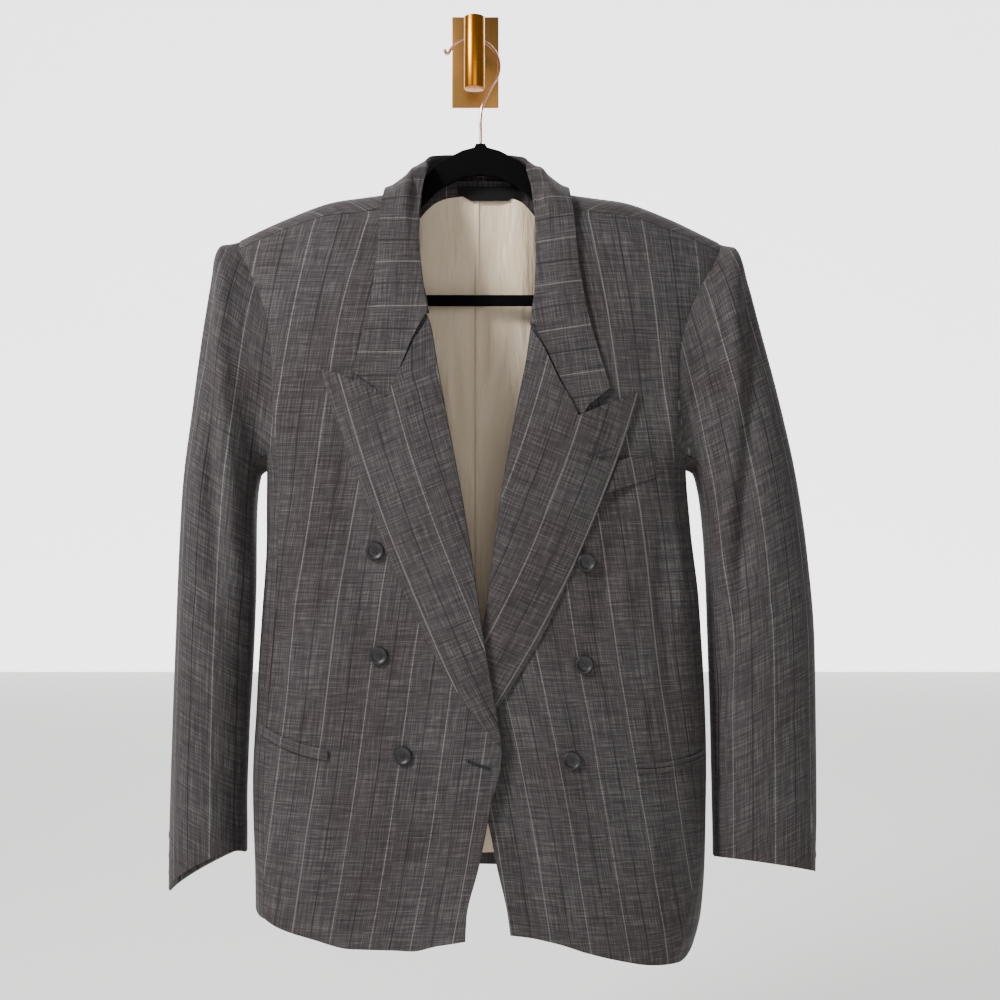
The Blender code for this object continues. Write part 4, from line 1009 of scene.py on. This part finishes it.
# The collar from its front end to the centre of the back: the fold, the free edge and the
# seam of its stand; face is 1 on the front and -1 on the back of the shoulder
COLLAR_NAMES = ("step fold_x fold_z fold_depth edge_x edge_z edge_face edge_over "
                "seam_x seam_z seam_depth")
COLLAR_RIGHT = [
    (0, -45, -295, 112, -125, -358, 1, 4, -42, -296, 106),
    (1, -51, -270, 107, -117, -330, 1, 4, -50, -269, 98),
    (2, -55, -240, 99, -108, -293, 1, 5, -61, -238, 90),
    (3, -57, -208, 90, -102, -243, 1, 6, -68, -208, 82),
    (4, -56, -176, 78, -99, -202, 1, 7, -68, -180, 76),
    (5, -54, -146, 61, -97, -176, 1, 8, -69, -152, 66),
    (6, -50, -120, 42, -94, -159, 0, 8, -61, -130, 46),
    (7, -42, -111, 28, -78, -166, -1, 7, -47, -133, 27),
    (8, -27, -108, 20, -44, -162, -1, 7, -32, -131, 19),
    (9, 3, -107, 17, 3, -160, -1, 7, 3, -134, 17),
]
COLLAR_LEFT = [
    (0, 59.5, -308, 114, 141, -375, 1, 4, 55, -308, 106),
    (1, 63, -278, 108, 131, -341, 1, 4, 62, -276, 99),
    (2, 65, -245, 99, 119, -298, 1, 5, 67, -241, 90),
    (3, 65, -210, 90, 110, -243, 1, 6, 71, -209, 81),
    (4, 63, -178, 78, 106, -204, 1, 7, 74, -181, 75),
    (5, 60, -148, 61, 103, -178, 1, 8, 75.5, -153, 66),
    (6, 56, -122, 42, 100, -162, 0, 8, 67, -130, 46),
    (7, 48, -112, 28, 84, -167, -1, 7, 53, -133, 27),
    (8, 33, -108, 20, 50, -162, -1, 7, 38, -131, 19),
    (9, 3, -107, 17, 3, -160, -1, 7, 3, -134, 17),
]


def beyond_neck(side, x, depth, z):
    """How far a place lies inside the neck opening, from the edge of the body's cloth."""
    drop = read(RIDGE, "z", from_middle(x)) - z
    seam_drop = read(RIDGE, "seam_drop", from_middle(x))
    if depth > read(BODY, "waist", z):
        inside = from_middle(inner_x(side, z)) - from_middle(x)
        return max(0.0, min(inside, drop - seam_drop))
    return max(0.0, -seam_drop - drop)


def clear_of_body(side, point, gap):
    """Push a point out of the body's section until the gap lies under it."""
    x, depth, z = point[0], -point[1], point[2]
    held = 1 - min(1.0, beyond_neck(side, x, depth, z) / NECK_ROLL)
    waist = read(BODY, "waist", z)
    middle = read(RIDGE, "z", from_middle(x)) - SHOULDER_ROUND
    low = min(z, middle)
    ahead = depth > waist
    flat = front_depth(side, x, low) - waist if ahead else waist - back_depth(side, x, low)
    away = depth - waist if ahead else waist - depth
    if z <= middle:
        away = max(away, flat + gap)
    else:
        rise = z - middle
        radius = math.hypot(away / (flat + gap), rise / (SHOULDER_ROUND + gap))
        if radius < 1.0:
            away = away / radius
            z = middle + rise / radius
    depth = waist + away if ahead else waist - away
    return point * (1 - held) + np.array([x, -depth, z]) * held


def neck_edge(x):
    """The back panel's neck seam at a distance from the middle."""
    turn = top_turn(x)
    z = read(RIDGE, "z", from_middle(x)) - SHOULDER_ROUND * (1 - np.cos(turn))
    waist = read(BODY, "waist", z)
    reach = read(BODY, "crown", z) - waist if turn < 0 else waist - read(BODY, "back", z)
    return np.array([x, -(waist - reach * math.sin(turn)), z])


def collar_row(side, source, step):
    """One section of the collar: stand from its seam to the fold, then the fall to its edge."""
    def place(name):
        depth = read(source, f"{name}_depth", step)
        return np.array([read(source, f"{name}_x", step), -depth, read(source, f"{name}_z", step)])

    fold = place("fold")
    seam = place("seam")
    sewn = ease(4.2, 5.0, step / MM)
    above = neck_edge(seam[0]) + np.array([0, 0, STAND_GAP])
    seam = seam * (1 - sewn) + above * sewn
    face = read(source, "edge_face", step) / MM
    x = read(source, "edge_x", step)
    z = min(read(source, "edge_z", step), read(RIDGE, "z", from_middle(x)))
    turned, upward = dome(x, z)
    over = read(source, "edge_over", step)
    ahead = front_depth(side, x, z) + over * turned
    behind = back_depth(side, x, z) - over * turned
    depth = ahead * (1 + face) / 2 + behind * (1 - face) / 2
    edge = np.array([x, -depth, z + over * upward])
    line = [seam * (1 - t) + fold * t for t in (0.0, 0.33, 0.66, 1.0)]
    top = lapel_top(side)
    gorge = [top[1], top[2], top[3], None, None, None]
    notch = max(0.0, 1 - step / (1.7 * MM)) ** 2
    for k in range(6):
        t = (k + 1) / 6
        at = fold * (1 - t) + edge * t
        if notch > 0:
            if k < 3:
                cut = gorge[k]
            else:
                part = (k - 2) / 3
                cut = top[3] * (1 - part) + np.array([edge[0], edge[2]]) * part
            at[0] += (cut[0] - at[0]) * notch
            at[2] += (cut[1] + GORGE_GAP - at[2]) * notch
        at[1] -= face * 0.004 * math.sin(math.pi * t)
        gap = LAYER + LAPEL + FALL_GAP * (0.3 + 0.7 * ease(4.0, 5.0, step / MM))
        line.append(clear_of_body(side, at, gap))
    return line


halves = []
for side, rows in ((RIGHT, COLLAR_RIGHT), (LEFT, COLLAR_LEFT)):
    source = table(COLLAR_NAMES, rows)
    halves.append([collar_row(side, source, step) for step in np.linspace(0, 9, 19) * MM])
coarse = np.array(halves[0] + halves[1][::-1][1:])
# The fold's two ends draw in to meet the lapels' roll lines
for side, rows in ((RIGHT, (0, 1, 2)), (LEFT, (-1, -2, -3))):
    for row, draw in zip(rows, (0.0034, 0.0019, 0.0007)):
        coarse[row, :, 0] += side * draw * np.interp(np.arange(coarse.shape[1]), (3, 7), (1, 0))
grid = refined(coarse, 240, 72)
# The stripes run across the collar, level on the right half and dropping to the point on the
# left one: pale where this measure along it is a whole number of repeats
around = lengths(grid, 0)[:, [SPINE]]
around = np.abs(around - around[len(grid) // 2])
spine = grid[:, [SPINE]]
left_half = spine[..., 0] > MIDDLE_X
level = ease(0.06, 0.12, around)
lean = np.where(left_half, 0.14, 0.0)
drop = spine[..., 2] - grid[..., 2] + lean * (grid[..., 0] - spine[..., 0])
run = around + level * drop
for half, height in ((left_half, -0.2645), (~left_half, -0.242)):
    rows = np.where(half[:, 0])[0]
    nearest = rows[np.argmin(np.abs(spine[rows, 0, 2] - height))]
    run[rows] = (run[rows] - around[nearest]) * STRIPE / COLLAR_REPEAT
over = (1 - level) * lengths(grid, 1) + level * (grid[..., 0] - spine[..., 0])
cut = np.stack((run, over), axis=-1)
cloth("collar", grid, cut, thick=LAPEL, inset=0.0008)


# Pockets: a double-jetted slit low on each front, and a breast welt on the left one that
# starts under the lapel. All are folded strips of worsted, pressed flat and stitched in.

JET_WIDTH = 0.0050
JET_THICK = 0.0010
# What is sewn on: pocket mouths, the welt's lower and upper edge, button places (x, z)
POCKET_RIGHT = [(-148, -749), (-172, -745), (-200, -737), (-224, -727)]
POCKET_LEFT = [(166, -763), (194, -763), (227, -759), (241, -755)]
WELT_LOW = [(140, -481), (190, -465)]
WELT_HIGH = [(151, -448), (187, -439)]


def strip(name, side, line, low, high, over, thick, stripes, nodes):
    """A folded strip on a front along a line of points, from low to high across it."""
    line = np.array(line) * MM
    t = np.linspace(0, 1, 90)
    spots = np.linspace(0, 1, len(line))
    x, z = cubic(spots, line[:, 0], t), cubic(spots, line[:, 1], t)
    rows = []
    for height in np.linspace(high, low, 9):
        bulge = thick * 0.7 * (1 - ((height - (low + high) / 2) / ((high - low) / 2)) ** 2)
        rows.append(on_front(side, x, z + height, over + thick + bulge))
    grid = np.array(rows)
    cut = np.stack((striped(grid[..., 0], grid[..., 2], stripes), lengths(grid, 0)), axis=-1)
    mesh = shell(grid, cut, thick, 0.0)
    return place(name, mesh, worsted, "worsted", *nodes)


for side, line, stripes in ((RIGHT, POCKET_RIGHT, STRIPES_RIGHT), (LEFT, POCKET_LEFT, STRIPES_LEFT)):
    for part, low, high in (("upper", 0.0004, JET_WIDTH), ("lower", -JET_WIDTH, -0.0004)):
        node_name = f"pocket_jet_{side_name(side)}_{part}"
        strip(f"{node_name}_cloth", side, line, low, high, 2 * LAYER + 0.0004, JET_THICK, stripes,
              [node_name])
low, high = np.array(WELT_LOW) * MM, np.array(WELT_HIGH) * MM
rows = []
for share in np.linspace(1, 0, 24):
    ends = low * (1 - share) + high * share
    x = np.linspace(lapel_edge_x(LEFT, ends[0][1]) + 0.0012, ends[1][0], 50)
    z = np.interp(x, ends[:, 0], ends[:, 1])
    rows.append(on_front(LEFT, x, z, 0.0012))
grid = np.array(rows)
cut = np.stack((striped(grid[..., 0], grid[..., 2], STRIPES_LEFT), lengths(grid, 0)), axis=-1)
place("breast_welt_cloth", shell(grid, cut, 0.0009, 0.0), worsted, "worsted", "breast_welt")


# Buttons: turned from dark polyester that looks like horn, with a raised rim, a sunken
# middle and four holes, sewn on with crossed thread. Small ones close the cuffs.

BUTTON_THICK = 0.0034
CUFF_BUTTON_GAP = 0.0007
BUTTON_RADIUS = 0.0096
CUFF_BUTTON_RADIUS = 0.0075
CUFF_BUTTON_TURN = -12.0  # degrees round the sleeve, just in front of its back seam
BUTTONS_RIGHT = [(-100.2, -541, 0.9), (-96.3, -648, 0.9), (-70.6, -748.5, 1.3)]  # x z gap
BUTTONS_LEFT = [(116, -553, 0.9), (113.4, -657, 0.9), (100.5, -754, 0.9)]


def front_frame(side, x, z):
    """A point on a front with its outward direction."""
    at = on_front(side, np.array(x), np.array(z))
    across = on_front(side, np.array(x + 0.004), np.array(z)) - at
    down = on_front(side, np.array(x), np.array(z - 0.004)) - at
    out = np.cross(down, across)
    return at, out / np.linalg.norm(out)


# Polished polyester: near black with faint clouds, and a clear small highlight on the rim.
horn, tree, shader = finish("polished_dark_polyester", Roughness=0.45)
where = node(tree, "ShaderNodeTexCoord").outputs["Object"]
clouds = node(tree, "ShaderNodeTexNoise", {"Scale": 160.0, "Detail": 3.0}, {"Vector": where})
tone = node(tree, "ShaderNodeMix", {"A": linear("#0b090a"), "B": linear("#1d191b")},
            {"Factor": clouds.outputs[0]}, data_type="RGBA")
tree.links.new(tone.outputs["Result"], shader.inputs["Base Color"])
thread, tree, shader = finish("black_polyester_thread", Roughness=0.8,
                              Base_color=linear("#1a1719"))


def button(name, at, out, radius, gap):
    """A button with four holes, its place and turn in its mesh, and its thread."""
    profile = [(0.0, 0.0), (0.86, 0.0), (0.97, 0.12), (1.0, 0.30), (1.0, 0.62), (0.97, 0.85),
               (0.90, 1.0), (0.80, 1.0), (0.72, 0.88), (0.64, 0.68), (0.50, 0.60), (0.0, 0.58)]
    turns = 48
    mesh = bmesh.new()
    rings = []
    for share, height in profile:
        spots = [(0.0, 0.0)] if share == 0 else [
            (radius * share * math.cos(2 * math.pi * k / turns),
             radius * share * math.sin(2 * math.pi * k / turns)) for k in range(turns)]
        rings.append([mesh.verts.new((*s, height * BUTTON_THICK)) for s in spots])
    for first, last in zip(rings, rings[1:]):
        for k in range(turns):
            n = (k + 1) % turns
            if len(first) == 1:
                mesh.faces.new((first[0], last[n], last[k]))
            elif len(last) == 1:
                mesh.faces.new((first[k], first[n], last[0]))
            else:
                mesh.faces.new((first[k], first[n], last[n], last[k]))
    turn = Vector(out).to_track_quat("Z", "Y").to_matrix().to_4x4()
    move = Vector(at + out * gap)
    bmesh.ops.transform(mesh, matrix=turn, verts=mesh.verts)
    bmesh.ops.translate(mesh, vec=move, verts=mesh.verts)
    bmesh.ops.recalc_face_normals(mesh, faces=mesh.faces)
    place(f"{name}_turned", built(mesh, name), horn, "horn", name)
    sewn = bmesh.new()
    hole = radius * 0.20
    for x in (-1, 1):
        for y in (-1, 1):
            pit = bmesh.ops.create_cone(sewn, cap_ends=True, segments=14, radius1=radius * 0.085,
                                        radius2=radius * 0.085, depth=0.0004)["verts"]
            bmesh.ops.translate(sewn, vec=(x * hole, y * hole, BUTTON_THICK * 0.62), verts=pit)
    for turn_by in (45, 135):
        lay = bmesh.ops.create_cone(sewn, cap_ends=True, segments=10, radius1=0.00045,
                                    radius2=0.00045, depth=hole * 2.83)["verts"]
        bmesh.ops.rotate(sewn, verts=lay, cent=(0, 0, 0),
                         matrix=Vector((1, 0, 0)).to_track_quat("Z", "Y").to_matrix())
        bmesh.ops.rotate(sewn, verts=lay, cent=(0, 0, 0),
                         matrix=Vector((math.cos(math.radians(turn_by)),
                                        math.sin(math.radians(turn_by)), 0)
                                       ).to_track_quat("X", "Z").to_matrix())
        bmesh.ops.translate(sewn, vec=(0, 0, BUTTON_THICK * 0.68), verts=lay)
    bmesh.ops.transform(sewn, matrix=turn, verts=sewn.verts)
    bmesh.ops.translate(sewn, vec=move, verts=sewn.verts)
    place(f"{name}_thread", built(sewn, f"{name}_thread"), thread, "horn")


for side, places in ((RIGHT, BUTTONS_RIGHT), (LEFT, BUTTONS_LEFT)):
    for k, (x, z, gap) in enumerate(places):
        at, out = front_frame(side, x * MM, z * MM)
        button(f"button_{side_name(side)}_{k + 1}", at, out, BUTTON_RADIUS, gap * MM)
    for k in range(3):
        at, out = sleeve_frame(side, (9.9 - 0.33 * (k + 0.6)) * MM, math.radians(CUFF_BUTTON_TURN))
        name = f"cuff_button_{side_name(side)}_{k + 1}"
        button(name, at, out, CUFF_BUTTON_RADIUS, CUFF_BUTTON_GAP)


# Buttonholes: worked by machine in dark twist, a keyhole on the lapped front's edge at the
# fastening button, and a straight one across the left lapel's peak.

CORD_RADIUS = 0.0005      # half the width of one row of buttonhole stitches
HOLE_HALF = 0.0008        # from the slit to the middle of a row


def worked_hole(name, side, start, end, over, eye):
    """A corded buttonhole: two close rows of thread round a slit, wider by the eye at its end."""
    start, end = np.array(start) * MM, np.array(end) * MM
    along = (end - start) / np.linalg.norm(end - start)
    cross = np.array([-along[1], along[0]])
    line = []
    for t in np.linspace(0, 1, 30):
        line.append(start + (end - start) * t + cross * HOLE_HALF)
    for a in np.linspace(90, -90, 12)[1:-1]:
        reach = HOLE_HALF * eye
        turn = math.radians(a)
        line.append(end + along * reach * math.cos(turn) * 1.2 + cross * reach * math.sin(turn))
    for t in np.linspace(1, 0, 30):
        line.append(start + (end - start) * t - cross * HOLE_HALF)
    line = np.array(line)
    spots = on_front(side, line[:, 0], line[:, 1], over)
    place(name, tube(spots, CORD_RADIUS, 2, True), thread, "horn")


worked_hole("edge_buttonhole", RIGHT, (-6, -752), (16, -760), 0.0006, 1.9)
worked_hole("lapel_buttonhole", LEFT, (118, -444), (141, -437),
            LAYER + LAPEL + LAPEL_ROLL + 0.0012, 1.0)


# Lining: satin, cut wider than the back and folded to a pleat down its middle for ease, and
# sewn in at the neck and hem. It hangs a little in front of the back.

LINING_TOP_Z = -0.1455
LINING_HEM_Z = -0.878
LINING_GAP = 0.0015
LINING_THICK = 0.0010
PLEAT_HEIGHT = 0.0015

# Acetate satin: beige, close and shiny across its folds, with a soft broad highlight.
satin, tree, shader = finish("beige_acetate_satin", Roughness=0.42)
cut_map = node(tree, "ShaderNodeUVMap", uv_map="cloth").outputs[0]
crumple = node(tree, "ShaderNodeTexNoise", {"Scale": 1.0, "Detail": 4.0, "Roughness": 0.55},
               {"Vector": scaled(tree, cut_map, (38, 9, 1))}, noise_dimensions="2D")
tone = node(tree, "ShaderNodeMix", {"A": linear("#d3bd9e"), "B": linear("#e6d3b6")},
            {"Factor": crumple.outputs[0]}, data_type="RGBA")
tree.links.new(tone.outputs["Result"], shader.inputs["Base Color"])
soft = node(tree, "ShaderNodeBump", {"Strength": 0.6, "Distance": 0.007},
            {"Height": crumple.outputs[0]})
tree.links.new(soft.outputs[0], shader.inputs["Normal"])
shader.inputs["Sheen Weight"].default_value = 0.2
shader.inputs["Sheen Roughness"].default_value = 0.35
for side in (RIGHT, LEFT):
    x = np.concatenate((np.linspace(0, 0.012, 16), np.linspace(0.012, 0.17, 70)[1:]))
    down = np.linspace(0, 1, 170)[:, None]
    top = np.minimum(LINING_TOP_Z, read(RIDGE, "z", x) - 0.048)
    z = top[None, :] + down * (LINING_HEM_Z - top)[None, :]
    lap = -0.0012 if side == RIGHT else 0.0     # the right half folds over the left one
    spot = MIDDLE_X + side * (lap + x[None, :] + 0 * z)
    depth = back_depth(side, spot, z) + CLOTH + LINING_GAP + LINING_THICK
    fold = PLEAT_HEIGHT * (1 - ease(0.0028, 0.0052, x))[None, :] * (side == RIGHT)
    wave = (np.sin(70 * x[None, :] + 3 * np.sin(9 * z) + 1.3 * side) * 0.0027
            + np.sin(160 * x[None, :] + 5 * z + side) * 0.0010)
    depth = depth + fold + np.maximum(wave + 0.0006, -0.0008) * ease(0.0, 0.03, x)[None, :]
    grid = np.stack((spot, -depth, z), axis=-1)
    cut = np.stack((lengths(grid, 1), lengths(grid, 0)), axis=-1)
    if side == RIGHT:
        grid, cut = grid[:, ::-1], cut[:, ::-1]
    cloth(f"back_lining_{side_name(side)}", grid, cut, "satin", satin,
          LINING_THICK, 0.0)


# Neck label: a folded black woven label, left bare, stitched to the lining at its ends.
LABEL_OUT = 0.0012
LABEL_DEPTH = 0.0224      # where its ends reach round the curved back of the neck
LABEL_THICK = 0.0008
label_cloth, tree, shader = finish("black_woven_label", Roughness=0.75,
                                   Base_color=linear("#0a090b"))
shader.inputs["Specular IOR Level"].default_value = 0.2
rows = []
for z, left, right in ((-143.5, -20, 49), (-148, -19, 48), (-152, -18, 47), (-159.5, -4, 37)):
    x = np.linspace(left, right, 40) * MM
    z = np.full(40, z * MM)
    depth = back_depth(LEFT, np.abs(x), z) + CLOTH + LINING_GAP + LINING_THICK + LABEL_OUT
    depth = np.maximum(depth, LABEL_DEPTH) + 0.0008
    rows.append(np.stack((x, -depth, z), axis=-1))
grid = np.array(rows)
cut = np.stack((lengths(grid, 1), lengths(grid, 0)), axis=-1)
place("neck_label_woven", shell(grid, cut, LABEL_THICK, 0.0), label_cloth, "label", "neck_label")


# Studio: a pale floor, an even pale surround and large soft lights, and the camera.

floor_paint, tree, shader = finish("pale_floor", Roughness=0.9, Base_color=linear("#f2f2f0"))
floor = bmesh.new()
bmesh.ops.create_grid(floor, x_segments=1, y_segments=1, size=6.0)
bmesh.ops.translate(floor, vec=(0, 0, -1.30), verts=floor.verts)
floor_mesh = built(floor, "floor")
floor_mesh.materials.append(floor_paint)
ground = bpy.data.objects.new("floor", floor_mesh)
bpy.context.collection.objects.link(ground)
paper, tree, shader = finish("lit_white_paper", Roughness=0.9, Base_color=linear("#ffffff"),
                             Emission_color=linear("#ffffff"), Emission_strength=2.6)
backdrop = bmesh.new()
bmesh.ops.create_grid(backdrop, x_segments=1, y_segments=1, size=6.0)
bmesh.ops.rotate(backdrop, verts=backdrop.verts, cent=(0, 0, 0),
                 matrix=Vector((0, -1, 0)).to_track_quat("Z", "Y").to_matrix())
bmesh.ops.translate(backdrop, vec=(0, 4.5, 4.4), verts=backdrop.verts)
backdrop_mesh = built(backdrop, "backdrop")
backdrop_mesh.materials.append(paper)
sweep = bpy.data.objects.new("backdrop", backdrop_mesh)
bpy.context.collection.objects.link(sweep)
world = bpy.data.worlds.new("surround")
bpy.context.scene.world = world
world.use_nodes = True
world.node_tree.nodes["Background"].inputs["Color"].default_value = linear("#ffffff")
world.node_tree.nodes["Background"].inputs["Strength"].default_value = 0.28
for name, at, size, power in (("key", (-1.35, -1.15, 0.75), 0.5, 66),
                              ("fill", (0.3, -2.5, -0.1), 1.2, 13),
                              ("rim", (0.4, 1.8, 1.2), 1.5, 25)):
    lamp = bpy.data.lights.new(name, "AREA")
    lamp.size = size
    lamp.energy = power
    held = bpy.data.objects.new(name, lamp)
    held.location = at
    aim = Vector((0.03, -0.08, -0.5)) - Vector(at)
    held.rotation_euler = aim.to_track_quat("-Z", "Y").to_euler()
    bpy.context.collection.objects.link(held)
lens = bpy.data.cameras.new("camera")
lens.lens = 45.0
lens.sensor_width = 36.0
camera = bpy.data.objects.new("camera", lens)
camera.location = (0.0276, -1.40, -0.489)
camera.rotation_euler = (math.radians(90), 0, 0)
bpy.context.collection.objects.link(camera)
bpy.context.scene.camera = camera
